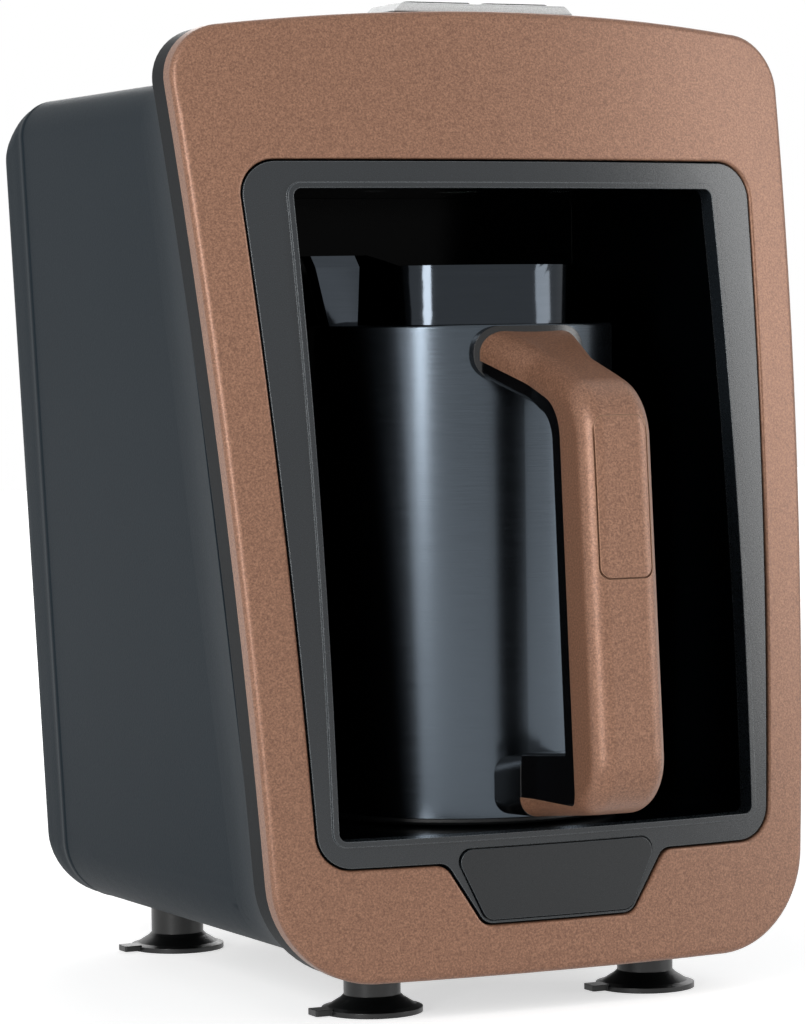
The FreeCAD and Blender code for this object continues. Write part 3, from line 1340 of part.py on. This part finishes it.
def pad_slab(name, gap, deep):
    """Block with rounded corners that holds the thin panel in the grip's front, grown by gap."""
    half = "(pad_half + %s)" % gap
    low, high = "(pad_low - %s)" % gap, "(pad_high + %s)" % gap
    slab = pad_outline(name + "_slab", [("-" + half, low), (half, low), (half, high), ("-" + half, high)],
                       "jug_centre - grip_low_reach - 12", "jug_centre", [("pad_round", lambda p: True)])
    band = side_body(name + "_band", [
        ("jug_centre - grip_low_reach - 14", "pad_low - 10"),
        (reach_at("pad_low - 10", deep), "pad_low - 10"),
        (reach_at("pad_high + 10", deep), "pad_high + 10"), ("jug_centre - grip_low_reach - 14",
                                                             "pad_high + 10")],
        "pad_half + 4", [])
    return common(name, slab, band)


keep(cut("handle_cover_cut", handle_rounded, liner_zone, jug_space, screw_space,
         pad_slab("pad_pocket", "pad_gap", "pad_deep")), "handle_cover")
keep(common("handle_pad_form", handle_rounded, pad_slab("pad_panel", "0", "pad_deep - fit_gap")),
     "handle_pad")
liner_raw = common("liner_raw", common("liner_part", handle_rounded, liner_zone), liner_plan)
keep(cut("handle_liner_cut", liner_raw, jug_space, screw_space), "handle_liner")

# Seat under the upper arm and bracket under the lower one, both shaped to the jug

seat_block = pad_outline(
    "seat_block",
    [("-(grip_root_half + seat_over)", "seat_low"), ("grip_root_half + seat_over", "seat_low"),
     ("grip_root_half + seat_over", "seat_high"), ("-(grip_root_half + seat_over)", "seat_high")],
    OUT + " - 6", OUT + " + 16", [("seat_round", lambda p: True)])
seat_ring = new_tube("seat_ring", "jug_radius + seat_thick", "jug_radius + fit_gap", "30", "0", "jug_centre",
                     "seat_low - 5")
keep(cut("handle_seat_cut", common("seat_raw", seat_block, seat_ring), screw_space), "handle_seat")

bracket_body = side_body("bracket_body", [
    (INSIDE, "bracket_low"), (COVER_END + " + fit_gap", "grip_low_end"),
    (COVER_END + " + fit_gap", "bracket_end_top"), (INSIDE, "bracket_root_top")], "bracket_half", [])
fillet(bracket_body, "bracket_round",
       lambda e: e.BoundBox.YLength > 5 and abs(abs(e.BoundBox.XMin) - value("bracket_half")) < 1e-6,
       "bracket_rounds")
keep(cut("handle_bracket_cut", bracket_body, screw_space,
         new_cylinder("bracket_jug_space", "jug_radius + fit_gap", "60", "0", "jug_centre", "20")),
     "handle_bracket")

side_screw = doc.addObject("Part::Feature", "side_screw_form")
turned_screw = screw.Shape.copy()
turned_screw.rotate(V(0, 0, 0), V(1, 0, 0), 90)
side_screw.Shape = turned_screw
keep(copies("handle_screw_set", side_screw, [
    ("0", OUT + " + jug_wall + head_gap + screw_head_high", z)
    for z in ("handle_screw_low", "handle_screw_high")]), "handle_screws")

# Electrics: the power board on the liner's posts with its parts, and the gland where the cord would enter

BOARD_Y = "niche_back + niche_wall / 2 + post_long + niche_wall / 2"
board_body = new_body("power_board_body")
board_sketch = new_sketch(board_body, "power_board_outline", "XZ", rise="-(%s)" % BOARD_Y)
draw_outline(board_sketch, [("-board_half", "board_low"), ("board_half", "board_low"),
                            ("board_half", "board_high"), ("-board_half", "board_high")])
add_feature(board_body, "Pad", "power_board_pad", board_sketch, Length="board_thick", Reversed=True)
fillet(board_body, "2", along(V(0, 1, 0)), "power_board_corners")
board_bores = [new_cylinder("board_bore%d" % i, "screw_radius + fit_gap", "board_thick + 2", x,
                            BOARD_Y + " - 1", z, TO_Y)
               for i, (x, z) in enumerate(post_spots)]
keep(cut("power_board_cut", board_body, *board_bores), "power_board")
BEHIND_BOARD = "%s + board_thick" % BOARD_Y
keep(new_box("relay_block", "relay_left", BEHIND_BOARD, "relay_low", "relay_wide", "relay_deep",
             "relay_high"), "relay")
coil_core = new_box("coil_core", "coil_left", BEHIND_BOARD, "coil_low", "coil_wide", "coil_deep", "coil_high")
coil_bobbin = new_box("coil_bobbin", "coil_left + bobbin_inset", BEHIND_BOARD + " + bobbin_inset",
                      "coil_low - bobbin_inset", "coil_wide - 2 * bobbin_inset",
                      "coil_deep - 2 * bobbin_inset",
                      "coil_high + 2 * bobbin_inset")
keep(fuse("transformer_form", coil_core, coil_bobbin), "transformer")
keep(new_cylinder("capacitor_can", "capacitor_radius", "capacitor_long", "capacitor_across", BEHIND_BOARD,
                  "capacitor_height", TO_Y), "smoothing_capacitor")
keep(new_box("terminal_body", "terminal_left", BEHIND_BOARD, "terminal_low", "terminal_wide", "terminal_deep",
             "terminal_high"), "terminal_block")
board_screw = doc.addObject("Part::Feature", "board_screw_form")
back_screw = screw.Shape.copy()
back_screw.rotate(V(0, 0, 0), V(1, 0, 0), 90)
board_screw.Shape = back_screw
keep(copies("board_screw_set", board_screw, [
    (x, BOARD_Y + " + board_thick + screw_head_high", z) for x, z in post_spots]), "board_screws")

gland = fuse("gland_form",
             new_cylinder("gland_neck", "gland_radius - 2 * fit_gap", "gland_out + 6", "gland_place",
                          "shell_rear_low - 6",
                          "gland_height", TO_Y),
             new_cylinder("gland_rim", "gland_flange", "gland_out", "gland_place", "shell_rear_low",
                          "gland_height", TO_Y))
keep(cut("cord_gland_cut", gland, new_cylinder("gland_hole", "gland_bore", "40", "gland_place",
                                              "shell_rear_low - 20", "gland_height", TO_Y)), "cord_gland")

# Check everything, then write one file for each piece

doc.recompute()
for thing in doc.Objects:
    if "Invalid" in thing.State or "Error" in thing.State:
        raise RuntimeError("%s failed: %s" % (thing.Name, thing.State))
os.makedirs("parts", exist_ok=True)
for piece in pieces:
    if piece.Shape.isNull() or not piece.Shape.isValid():
        raise RuntimeError("%s has no valid shape" % piece.Label)
    piece.Shape.exportStep("parts/%s.step" % piece.Label)
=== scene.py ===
import math

import bpy
from mathutils import Matrix, Vector


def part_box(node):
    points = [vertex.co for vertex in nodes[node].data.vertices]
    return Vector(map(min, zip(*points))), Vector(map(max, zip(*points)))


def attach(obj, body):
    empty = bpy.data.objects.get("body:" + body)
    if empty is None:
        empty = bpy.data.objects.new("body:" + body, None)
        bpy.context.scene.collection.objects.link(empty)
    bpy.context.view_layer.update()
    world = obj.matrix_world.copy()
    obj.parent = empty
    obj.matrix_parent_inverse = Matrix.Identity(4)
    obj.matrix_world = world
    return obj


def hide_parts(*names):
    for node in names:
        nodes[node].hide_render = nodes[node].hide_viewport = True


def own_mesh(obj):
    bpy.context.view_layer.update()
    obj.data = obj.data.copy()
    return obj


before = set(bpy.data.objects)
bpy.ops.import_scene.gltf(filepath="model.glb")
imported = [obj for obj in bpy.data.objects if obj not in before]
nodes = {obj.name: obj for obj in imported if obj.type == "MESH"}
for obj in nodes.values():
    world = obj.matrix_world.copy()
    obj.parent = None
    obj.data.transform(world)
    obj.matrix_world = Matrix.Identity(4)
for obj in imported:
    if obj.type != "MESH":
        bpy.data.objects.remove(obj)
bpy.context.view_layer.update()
scene = bpy.context.scene
scene.view_settings.view_transform = "Standard"
# Nothing stays selected, so that an operator works only on the piece that it has just made
for obj in bpy.context.selected_objects:
    obj.select_set(False)

MM = 0.001


# Camera: where the photograph was taken from, in the machine's own frame and in metres

IMAGE_LONG_SIDE = 1024
FOCAL_PIXELS = 4177.4
SENSOR_MM = 36.0
CLIP_NEAR, CLIP_FAR = 0.05, 50.0
CAMERA_SPOT = Vector((-0.44516, -0.90187, 0.15704))
CAMERA_RIGHT = Vector((0.89958, -0.43655, -0.01308))
CAMERA_UP = Vector((0.03096, 0.03387, 0.99895))


def add_camera():
    data = bpy.data.cameras.new("camera")
    data.sensor_width = SENSOR_MM
    data.lens = FOCAL_PIXELS * SENSOR_MM / IMAGE_LONG_SIDE
    data.clip_start = CLIP_NEAR
    data.clip_end = CLIP_FAR
    camera = bpy.data.objects.new("camera", data)
    scene.collection.objects.link(camera)
    right = CAMERA_RIGHT.normalized()
    back = right.cross(CAMERA_UP).normalized()
    up = back.cross(right)
    turn = Matrix((right, up, back)).transposed().to_4x4()
    camera.matrix_world = Matrix.Translation(CAMERA_SPOT) @ turn
    scene.camera = camera


add_camera()


# Colours and nodes

# Features of the patterns, in millimetres
DRIFT_MM = 60.0
PEEL_MM = 1.2
PEEL_DEPTH_MM = 0.03
FLAKE_DEPTH_MM = 0.03
LINE_DEPTH_MM = 0.004
FLOW_MARK_MM = 2.0
FIBRE_MM = 3.0
# Cosine of the angle between a face and its rounded edge, where the paler edge tone (wear, and on the
# bezel's lip a painted highlight) begins and where it is full
EDGE_BEGINS, EDGE_FULL = 0.99, 0.80
EDGE_SAMPLES = 4
# Where the noise of a paint shows its dark, middle and light flakes
FLAKES_DARK, FLAKES_MIDDLE, FLAKES_LIGHT = 0.34, 0.5, 0.66
# Swing of the roughness to either side of its mean: added for the flakes, a share of it for the lines
FLAKE_SWING = 0.08
LINE_SWING = 0.2


def colour(code):
    """Linear colour of an sRGB hex value."""
    parts = [int(code[i:i + 2], 16) / 255 for i in (1, 3, 5)]
    linear = [p / 12.92 if p <= 0.04045 else ((p + 0.055) / 1.055) ** 2.4 for p in parts]
    return (*linear, 1.0)


WHITE = colour("#FFFFFF")


def put(tree, kind, inputs=None, **settings):
    """Node with its settings; an input is a value, or the output of another node."""
    made = tree.nodes.new(kind)
    for name, setting in settings.items():
        setattr(made, name, setting)
    for name, given in (inputs or {}).items():
        if isinstance(given, bpy.types.NodeSocket):
            tree.links.new(given, made.inputs[name])
        else:
            made.inputs[name].default_value = given
    return made


def start_material(name, **sockets):
    """Material with a principled shader, and its tree, its shader and the object's own coordinates."""
    material = bpy.data.materials.new(name)
    material.use_nodes = True
    tree = material.node_tree
    shader = tree.nodes["Principled BSDF"]
    for socket, given in sockets.items():
        shader.inputs[socket.replace("_", " ")].default_value = given
    place = put(tree, "ShaderNodeTexCoord").outputs["Object"]
    return material, tree, shader, place


def lead_in(tree, shader, tone, sheen, normal=None):
    """Lead a material's colour, its roughness and, where it has one, its normal into the shader."""
    tree.links.new(tone, shader.inputs["Base Color"])
    tree.links.new(sheen, shader.inputs["Roughness"])
    if normal is not None:
        tree.links.new(normal, shader.inputs["Normal"])


def per_metre(size_mm):
    """Scale of a pattern whose features are that many millimetres across."""
    return 1.0 / (size_mm * MM)


def worn_and_highlit_edge(tree, base, edge, round_mm):
    """Soft edge of a moulding: its rounded normal, and a tone that pales where the edge turns: wear, and on
    the bezel's thin lip a painted highlight.
    """
    soft = put(tree, "ShaderNodeBevel", {"Radius": round_mm * MM}, samples=EDGE_SAMPLES)
    flat = put(tree, "ShaderNodeNewGeometry")
    turn = put(tree, "ShaderNodeVectorMath", {0: soft.outputs["Normal"], 1: flat.outputs["Normal"]},
               operation="DOT_PRODUCT")
    mask = put(tree, "ShaderNodeMapRange", {"Value": turn.outputs["Value"], "From Min": EDGE_BEGINS,
                                            "From Max": EDGE_FULL})
    tone = put(tree, "ShaderNodeMix", {"Factor": mask.outputs["Result"], "A": base, "B": colour(edge)},
               data_type="RGBA")
    return soft.outputs["Normal"], tone.outputs["Result"]


def moulded(name, base, dark, edge, rough, grain_mm, grain_depth_mm, round_mm=0.3, swing=0.06, **sockets):
    """Moulded plastic: a faint drift of tone, paler edges from wear (on the bezel's thin lip a painted
    highlight), and a grain that breaks up its sheen.
    """
    material, tree, shader, place = start_material(name, **sockets)
    drift = put(tree, "ShaderNodeTexNoise", {"Vector": place, "Scale": per_metre(DRIFT_MM), "Detail": 3.0})
    tone = put(tree, "ShaderNodeMix", {"Factor": drift.outputs["Fac"], "A": colour(dark),
                                       "B": colour(base)}, data_type="RGBA")
    # The paler edge tone: wear, and on the bezel's thin lip a painted highlight.
    soft, rubbed_and_highlit = worn_and_highlit_edge(tree, tone.outputs["Result"], edge, round_mm)
    grain = put(tree, "ShaderNodeTexNoise", {"Vector": place, "Scale": per_metre(grain_mm),
                                             "Detail": 2.0})
    sheen = put(tree, "ShaderNodeMapRange", {"Value": grain.outputs["Fac"], "To Min": rough - swing,
                                             "To Max": rough + swing})
    bump = put(tree, "ShaderNodeBump", {"Height": grain.outputs["Fac"], "Distance": grain_depth_mm * MM,
                                        "Normal": soft})
    lead_in(tree, shader, rubbed_and_highlit, sheen.outputs["Result"], bump.outputs["Normal"])
    return material


def flake_paint(name, dark, base, light, edge, rough, flake_mm, round_mm=0.3, **sockets):
    """Metallic paint: flakes of three tones in a binder with a fine orange peel, thin over the edges."""
    material, tree, shader, place = start_material(name, **sockets)
    flakes = put(tree, "ShaderNodeTexNoise", {"Vector": place, "Scale": per_metre(flake_mm), "Detail": 3.0,
                                              "Roughness": 0.7})
    ramp = put(tree, "ShaderNodeValToRGB", {"Fac": flakes.outputs["Fac"]})
    stops = ramp.color_ramp.elements
    stops[0].position, stops[0].color = FLAKES_DARK, colour(dark)
    stops[1].position, stops[1].color = FLAKES_LIGHT, colour(light)
    stops.new(FLAKES_MIDDLE).color = colour(base)
    soft, thinned = worn_and_highlit_edge(tree, ramp.outputs["Color"], edge, round_mm)
    peel = put(tree, "ShaderNodeTexNoise", {"Vector": place, "Scale": per_metre(PEEL_MM), "Detail": 2.0})
    sheen = put(tree, "ShaderNodeMapRange", {"Value": flakes.outputs["Fac"], "To Min": rough - FLAKE_SWING,
                                             "To Max": rough + FLAKE_SWING})
    waves = put(tree, "ShaderNodeBump", {"Height": peel.outputs["Fac"], "Distance": PEEL_DEPTH_MM * MM,
                                         "Normal": soft})
    grains = put(tree, "ShaderNodeBump", {"Height": flakes.outputs["Fac"], "Distance": FLAKE_DEPTH_MM * MM,
                                          "Normal": waves.outputs["Normal"]})
    lead_in(tree, shader, thinned, sheen.outputs["Result"], grains.outputs["Normal"])
    return material


def worked_metal(name, base, dark, rough, line_mm, run_mm, upright=False, **sockets):
    """Metal with fine working lines, level so that they run round a turned piece, or upright."""
    material, tree, shader, place = start_material(name, Metallic=1.0, **sockets)
    finer = run_mm / line_mm
    stretch = (finer, finer, 1.0) if upright else (1.0, 1.0, finer)
    drawn = put(tree, "ShaderNodeMapping", {"Vector": place, "Scale": stretch})
    lines = put(tree, "ShaderNodeTexNoise", {"Vector": drawn.outputs["Vector"], "Scale": per_metre(run_mm),
                                             "Detail": 4.0})
    tone = put(tree, "ShaderNodeMix", {"Factor": lines.outputs["Fac"], "A": colour(dark),
                                       "B": colour(base)}, data_type="RGBA")
    sheen = put(tree, "ShaderNodeMapRange", {"Value": lines.outputs["Fac"],
                                             "To Min": rough * (1.0 - LINE_SWING),
                                             "To Max": rough * (1.0 + LINE_SWING)})
    bump = put(tree, "ShaderNodeBump", {"Height": lines.outputs["Fac"], "Distance": LINE_DEPTH_MM * MM})
    if "Anisotropic" in sockets:
        grain = put(tree, "ShaderNodeTangent", direction_type="RADIAL", axis="Z")
        tree.links.new(grain.outputs["Tangent"], shader.inputs["Tangent"])
    lead_in(tree, shader, tone.outputs["Result"], sheen.outputs["Result"], bump.outputs["Normal"])
    return material


def clear_plastic(name, tint, smooth, rough, **sockets):
    """Clear moulding of a small lens, with faint flow marks in its tint and its gloss."""
    material, tree, shader, place = start_material(name, **sockets)
    marks = put(tree, "ShaderNodeTexNoise", {"Vector": place, "Scale": per_metre(FLOW_MARK_MM),
                                             "Detail": 2.0})
    tone = put(tree, "ShaderNodeMix", {"Factor": marks.outputs["Fac"], "A": colour(tint),
                                       "B": WHITE}, data_type="RGBA")
    sheen = put(tree, "ShaderNodeMapRange", {"Value": marks.outputs["Fac"], "To Min": smooth,
                                             "To Max": rough})
    lead_in(tree, shader, tone.outputs["Result"], sheen.outputs["Result"])
    return material


# Finishes

# Metallic lacquer on moulded ABS: a warm copper brown with a fine sparkle, soft broad highlights and
# slightly paler edges. Real flakes are under 0.1 mm; they are drawn 0.45 mm wide so that they show.
copper_paint = flake_paint("copper_metallic_lacquer", "#6C4B3A", "#86604B", "#9F765E", "#AC8468", 0.42,
                           0.45, Metallic=0.35, Coat_Weight=0.08, Coat_Roughness=0.35)
# ABS moulded in a finely eroded tool: matt slate grey, its highlights spread wide over the flat sides.
shell_plastic = moulded("slate_abs_eroded_grain", "#242C32", "#1F272D", "#2F383F", 0.48, 0.5, 0.04,
                        IOR=1.5, Specular_IOR_Level=0.04)
# ABS moulded in a satin tool: dark grey with a tighter sheen. The pale line on its thin lip is a painted
# highlight, drawn by its pale edge tone.
bezel_plastic = moulded("dark_grey_abs_satin", "#1C2125", "#181C20", "#787E82", 0.27, 0.4, 0.01,
                        round_mm=0.35, IOR=1.5, Specular_IOR_Level=0.5)
# ABS moulded in a satin tool, almost black: the dark seam between the frame and the shell.
carrier_plastic = moulded("charcoal_abs_satin", "#121619", "#0E1114", "#1B2023", 0.45, 0.5, 0.02,
                          IOR=1.5, Specular_IOR_Level=0.06)
# Polished black polypropylene: deep black that mirrors the jug faintly and gives small sharp glints.
niche_plastic = moulded("black_polypropylene_polished", "#020304", "#010203", "#050607", 0.14, 1.5,
                        0.006, swing=0.03, IOR=1.3, Specular_IOR_Level=0.08)
# ABS moulded in a satin tool: the bare badge, a little darker and smoother than the bezel round it.
badge_plastic = moulded("charcoal_abs_smooth", "#13171A", "#101316", "#5A6064", 0.26, 0.3, 0.008,
                        IOR=1.5, Specular_IOR_Level=0.4)
# Glass-filled nylon, smoothly moulded: black with a soft gloss, for it is near the heat and is gripped.
handle_plastic = moulded("black_nylon_smooth", "#060607", "#040405", "#0E0F10", 0.22, 0.4, 0.008,
                         IOR=1.53, Specular_IOR_Level=0.4)
# Moulded polypropylene of the parts underneath: dull black with a coarse grain.
base_plastic = moulded("black_polypropylene_grained", "#131415", "#0E0F10", "#1D1F20", 0.5, 0.6, 0.05,
                       IOR=1.49, Specular_IOR_Level=0.4)
# Soft thermoplastic rubber: black with a faintly oily sheen that picks out the rims of the cups.
foot_rubber = moulded("black_soft_rubber", "#070808", "#040505", "#101112", 0.34, 0.8, 0.02,
                      IOR=1.5, Specular_IOR_Level=0.5)
# ABS keys, moulded smooth: black with a clear gloss on their rounded rims.
key_plastic = moulded("black_abs_smooth", "#131516", "#0E1011", "#24272A", 0.24, 0.4, 0.008,
                      IOR=1.5, Specular_IOR_Level=0.5)
# Fine metallic paint of the control plate: pale silver with a satin bloom. Its flakes are drawn 0.25 mm
# wide, for they are finer than the copper paint's.
plate_paint = flake_paint("silver_metallic_lacquer", "#B0B1B1", "#C2C3C3", "#D2D3D3", "#DCDDDD", 0.34,
                          0.25, Metallic=0.6)
# Solder-resist lacquer on glass laminate: bottle green with a slight weave in its gloss.
board_lacquer = moulded("green_board_lacquer", "#1E5A38", "#174A2D", "#8A9A5B", 0.3, 0.3, 0.02, IOR=1.5)
# Filled nylon of bought-in components: black, dull and even.
part_plastic = moulded("black_component_nylon", "#202224", "#191A1C", "#2C2F31", 0.45, 0.4, 0.02, IOR=1.53)
# Stainless steel with a dark satin finish, brushed round the body: anthracite, with highlights that the
# brushing draws out into upright bands. Real brush lines are 0.05 mm wide; they are drawn 0.2 mm wide.
jug_steel = worked_metal("stainless_steel_dark_satin", "#484F56", "#3E444A", 0.22, 0.2, 9.0,
                         Anisotropic=0.3)
# The same steel mirror-polished: nearly black where it sees the niche, with sharp narrow stripes.
collar_steel = worked_metal("stainless_steel_dark_polished", "#303439", "#2A2E32", 0.08, 0.3, 12.0)
# Zinc-plated steel: cool grey with short drawn lines and a cloudy lustre.
screw_steel = worked_metal("zinc_plated_steel", "#B8BBBD", "#A4A7AA", 0.3, 0.3, 1.5)
# Cast aluminium: pale grey and rough, without direction.
heater_metal = worked_metal("cast_aluminium", "#B4B6B8", "#9FA1A3", 0.45, 0.5, 1.0)
# Lacquered copper winding: orange brown with the wire's turns as lines across it.
winding_metal = worked_metal("lacquered_copper_winding", "#B87333", "#8A5526", 0.35, 0.4, 6.0)
# Brass of the contact pins: yellow and bright, with fine upright lines.
pin_metal = worked_metal("drawn_brass", "#C9A860", "#B5954F", 0.25, 0.3, 2.0, upright=True)
# Moulded polycarbonate of the lenses: clear with a cool tint and a hard gloss.
lens_plastic = clear_plastic("clear_polycarbonate", "#C8D4DC", 0.04, 0.12, IOR=1.58,
                             Transmission_Weight=0.85)

FINISHES = {
    copper_paint: ("front_frame", "handle_cover", "handle_pad"),
    bezel_plastic: ("window_bezel",),
    badge_plastic: ("badge_plate",),
    carrier_plastic: ("front_carrier",),
    niche_plastic: ("niche_liner", "niche_floor"),
    shell_plastic: ("outer_shell",),
    base_plastic: ("base_plate", "foot_collars", "jug_base_cap", "cord_gland", "sensor_board_posts"),
    foot_rubber: ("suction_feet",),
    plate_paint: ("control_plate",),
    key_plastic: ("brew_key", "power_key"),
    lens_plastic: ("sensor_lens", "lamp_lenses", "lamp_leds"),
    jug_steel: ("jug_shell",),
    collar_steel: ("jug_collar",),
    screw_steel: ("base_screws", "board_screws", "handle_screws", "brew_key_spring", "power_key_spring",
                  "heater_element", "jug_thermostat"),
    handle_plastic: ("handle_liner", "handle_seat", "handle_bracket"),
    board_lacquer: ("control_board", "sensor_board", "power_board"),
    part_plastic: ("key_switches", "buzzer", "foam_sensor", "jug_inlet", "plug_holder", "relay",
                   "smoothing_capacitor", "terminal_block"),
    heater_metal: ("heater_plate",),
    winding_metal: ("transformer",),
    pin_metal: ("contact_pins",),
}
for material, names in FINISHES.items():
    for name in names:
        nodes[name].data.materials.clear()
        nodes[name].data.materials.append(material)


# Key springs: round wire wound round each key's post, at the length of the spring that it stands in for

SPRING_RADIUS = 2.4 * MM
WIRE_RADIUS = 0.3 * MM
SPRING_TURNS = 3.5
WIRE_SIDES = 12
STEPS_PER_TURN = 24
WELD_DISTANCE = 0.01 * MM
SMOOTH_BELOW = math.radians(40)


def wind_spring(side):
    """Coil of the brew or the power key: a ring of wire swept up in a screw, with both ends closed."""
    low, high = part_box(side + "_key_spring")
    length = high[2] - low[2]
    bpy.ops.mesh.primitive_circle_add(vertices=WIRE_SIDES, radius=WIRE_RADIUS,
                                      location=(SPRING_RADIUS, 0.0, 0.0),
                                      rotation=(math.pi / 2, 0.0, 0.0))
    spring = bpy.context.object
    spring.name = side + "_key_coil"
    bpy.ops.object.transform_apply(location=True, rotation=True, scale=True)
    winding = spring.modifiers.new("winding", "SCREW")
    winding.angle = 2 * math.pi * SPRING_TURNS
    winding.screw_offset = length - 2 * WIRE_RADIUS
    winding.steps = winding.render_steps = int(STEPS_PER_TURN * SPRING_TURNS)
    bpy.ops.object.modifier_apply(modifier=winding.name)
    bpy.ops.object.mode_set(mode="EDIT")
    bpy.ops.mesh.select_all(action="SELECT")
    bpy.ops.mesh.remove_doubles(threshold=WELD_DISTANCE)
    bpy.ops.mesh.fill_holes(sides=0)
    bpy.ops.mesh.normals_make_consistent(inside=False)
    bpy.ops.transform.translate(value=((low[0] + high[0]) / 2, (low[1] + high[1]) / 2,
                                       low[2] + WIRE_RADIUS))
    bpy.ops.object.mode_set(mode="OBJECT")
    bpy.ops.object.shade_smooth_by_angle(angle=SMOOTH_BELOW)
    spring.data.materials.append(screw_steel)
    spring.select_set(False)
    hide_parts(side + "_key_spring")
    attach(spring, "housing")
    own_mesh(spring)


for side in ("brew", "power"):
    wind_spring(side)


# Stage: a pale floor and soft studio light

FLOOR_SIZE = 6.0
# The paper's own glow, which only the camera and reflections see, grows with distance from the machine
GLOW_NEAR, GLOW_FAR = 0.6, 1.0
GLOW_START, GLOW_END = 0.2, 0.7
# What the white surroundings light by themselves, next to the 1.0 that the camera and reflections see
WORLD_LIGHT = 0.28
# Each lamp's place, the point it faces, its width and height, all in metres, and its power in watts
SOFTBOXES = {
    # Two tall boxes at the sides give the jug its bright upright bands and leave the front plain
    "left_softbox": ((-1.221, -0.871, 0.66), (0.0, 0.0, 0.66), 0.2, 1.1, 16.0),
    "right_softbox": ((1.342, -0.871, 0.6), (0.0, 0.0, 0.6), 0.4, 1.1, 9.0),
    # A square one behind keeps the back and the far side from going dark
    "rear_softbox": ((0.7, 1.5, 0.9), (0.0, 0.0, 0.12), 0.9, 0.9, 7.0),
}


def background_rays(tree):
    """One for rays that come from the camera, a reflection or a refraction, and nothing for others."""
    path = put(tree, "ShaderNodeLightPath")
    either = put(tree, "ShaderNodeMath", {0: path.outputs["Is Camera Ray"],
                                          1: path.outputs["Is Glossy Ray"]}, operation="MAXIMUM")
    seen = put(tree, "ShaderNodeMath", {0: either.outputs[0], 1: path.outputs["Is Transmission Ray"]},
               operation="MAXIMUM")
    return seen.outputs[0]


def add_floor():
    bpy.ops.mesh.primitive_plane_add(size=FLOOR_SIZE, location=(0.0, 0.0, 0.0))
    floor = bpy.context.object
    floor.name = "studio_floor"
    # Seamless background paper: matt and nearly white, with short faint fibres
    material, tree, shader, place = start_material("seamless_white_paper", Roughness=0.9,
                                                   Specular_IOR_Level=0.2)
    fibres = put(tree, "ShaderNodeTexNoise", {"Vector": place, "Scale": per_metre(FIBRE_MM),
                                              "Detail": 4.0})
    tone = put(tree, "ShaderNodeMix", {"Factor": fibres.outputs["Fac"], "A": colour("#F4F4F4"),
                                       "B": colour("#FAFAFA")}, data_type="RGBA")
    far = put(tree, "ShaderNodeVectorMath", {0: place}, operation="LENGTH")
    glow = put(tree, "ShaderNodeMapRange", {"Value": far.outputs["Value"], "From Min": GLOW_START,
                                            "From Max": GLOW_END, "To Min": GLOW_NEAR, "To Max": GLOW_FAR})
    lift = put(tree, "ShaderNodeMath", {0: glow.outputs["Result"], 1: background_rays(tree)},
               operation="MULTIPLY")
    shader.inputs["Emission Color"].default_value = WHITE
    tree.links.new(tone.outputs["Result"], shader.inputs["Base Color"])
    tree.links.new(lift.outputs[0], shader.inputs["Emission Strength"])
    floor.data.materials.append(material)
    floor.select_set(False)


def add_softbox(name, spot, aim, wide, tall, power):
    data = bpy.data.lights.new(name, "AREA")
    data.shape = "RECTANGLE"
    data.size = wide
    data.size_y = tall
    data.energy = power
    lamp = bpy.data.objects.new(name, data)
    scene.collection.objects.link(lamp)
    lamp.location = spot
    lamp.rotation_mode = "QUATERNION"
    lamp.rotation_quaternion = (Vector(aim) - Vector(spot)).to_track_quat("-Z", "Y")


def add_world():
    world = bpy.data.worlds.new("studio_world")
    scene.world = world
    world.use_nodes = True
    tree = world.node_tree
    background = tree.nodes["Background"]
    background.inputs["Color"].default_value = WHITE
    strength = put(tree, "ShaderNodeMapRange", {"Value": background_rays(tree), "To Min": WORLD_LIGHT,
                                                "To Max": 1.0})
    tree.links.new(strength.outputs["Result"], background.inputs["Strength"])


add_floor()
for name, figures in SOFTBOXES.items():
    add_softbox(name, *figures)
add_world()
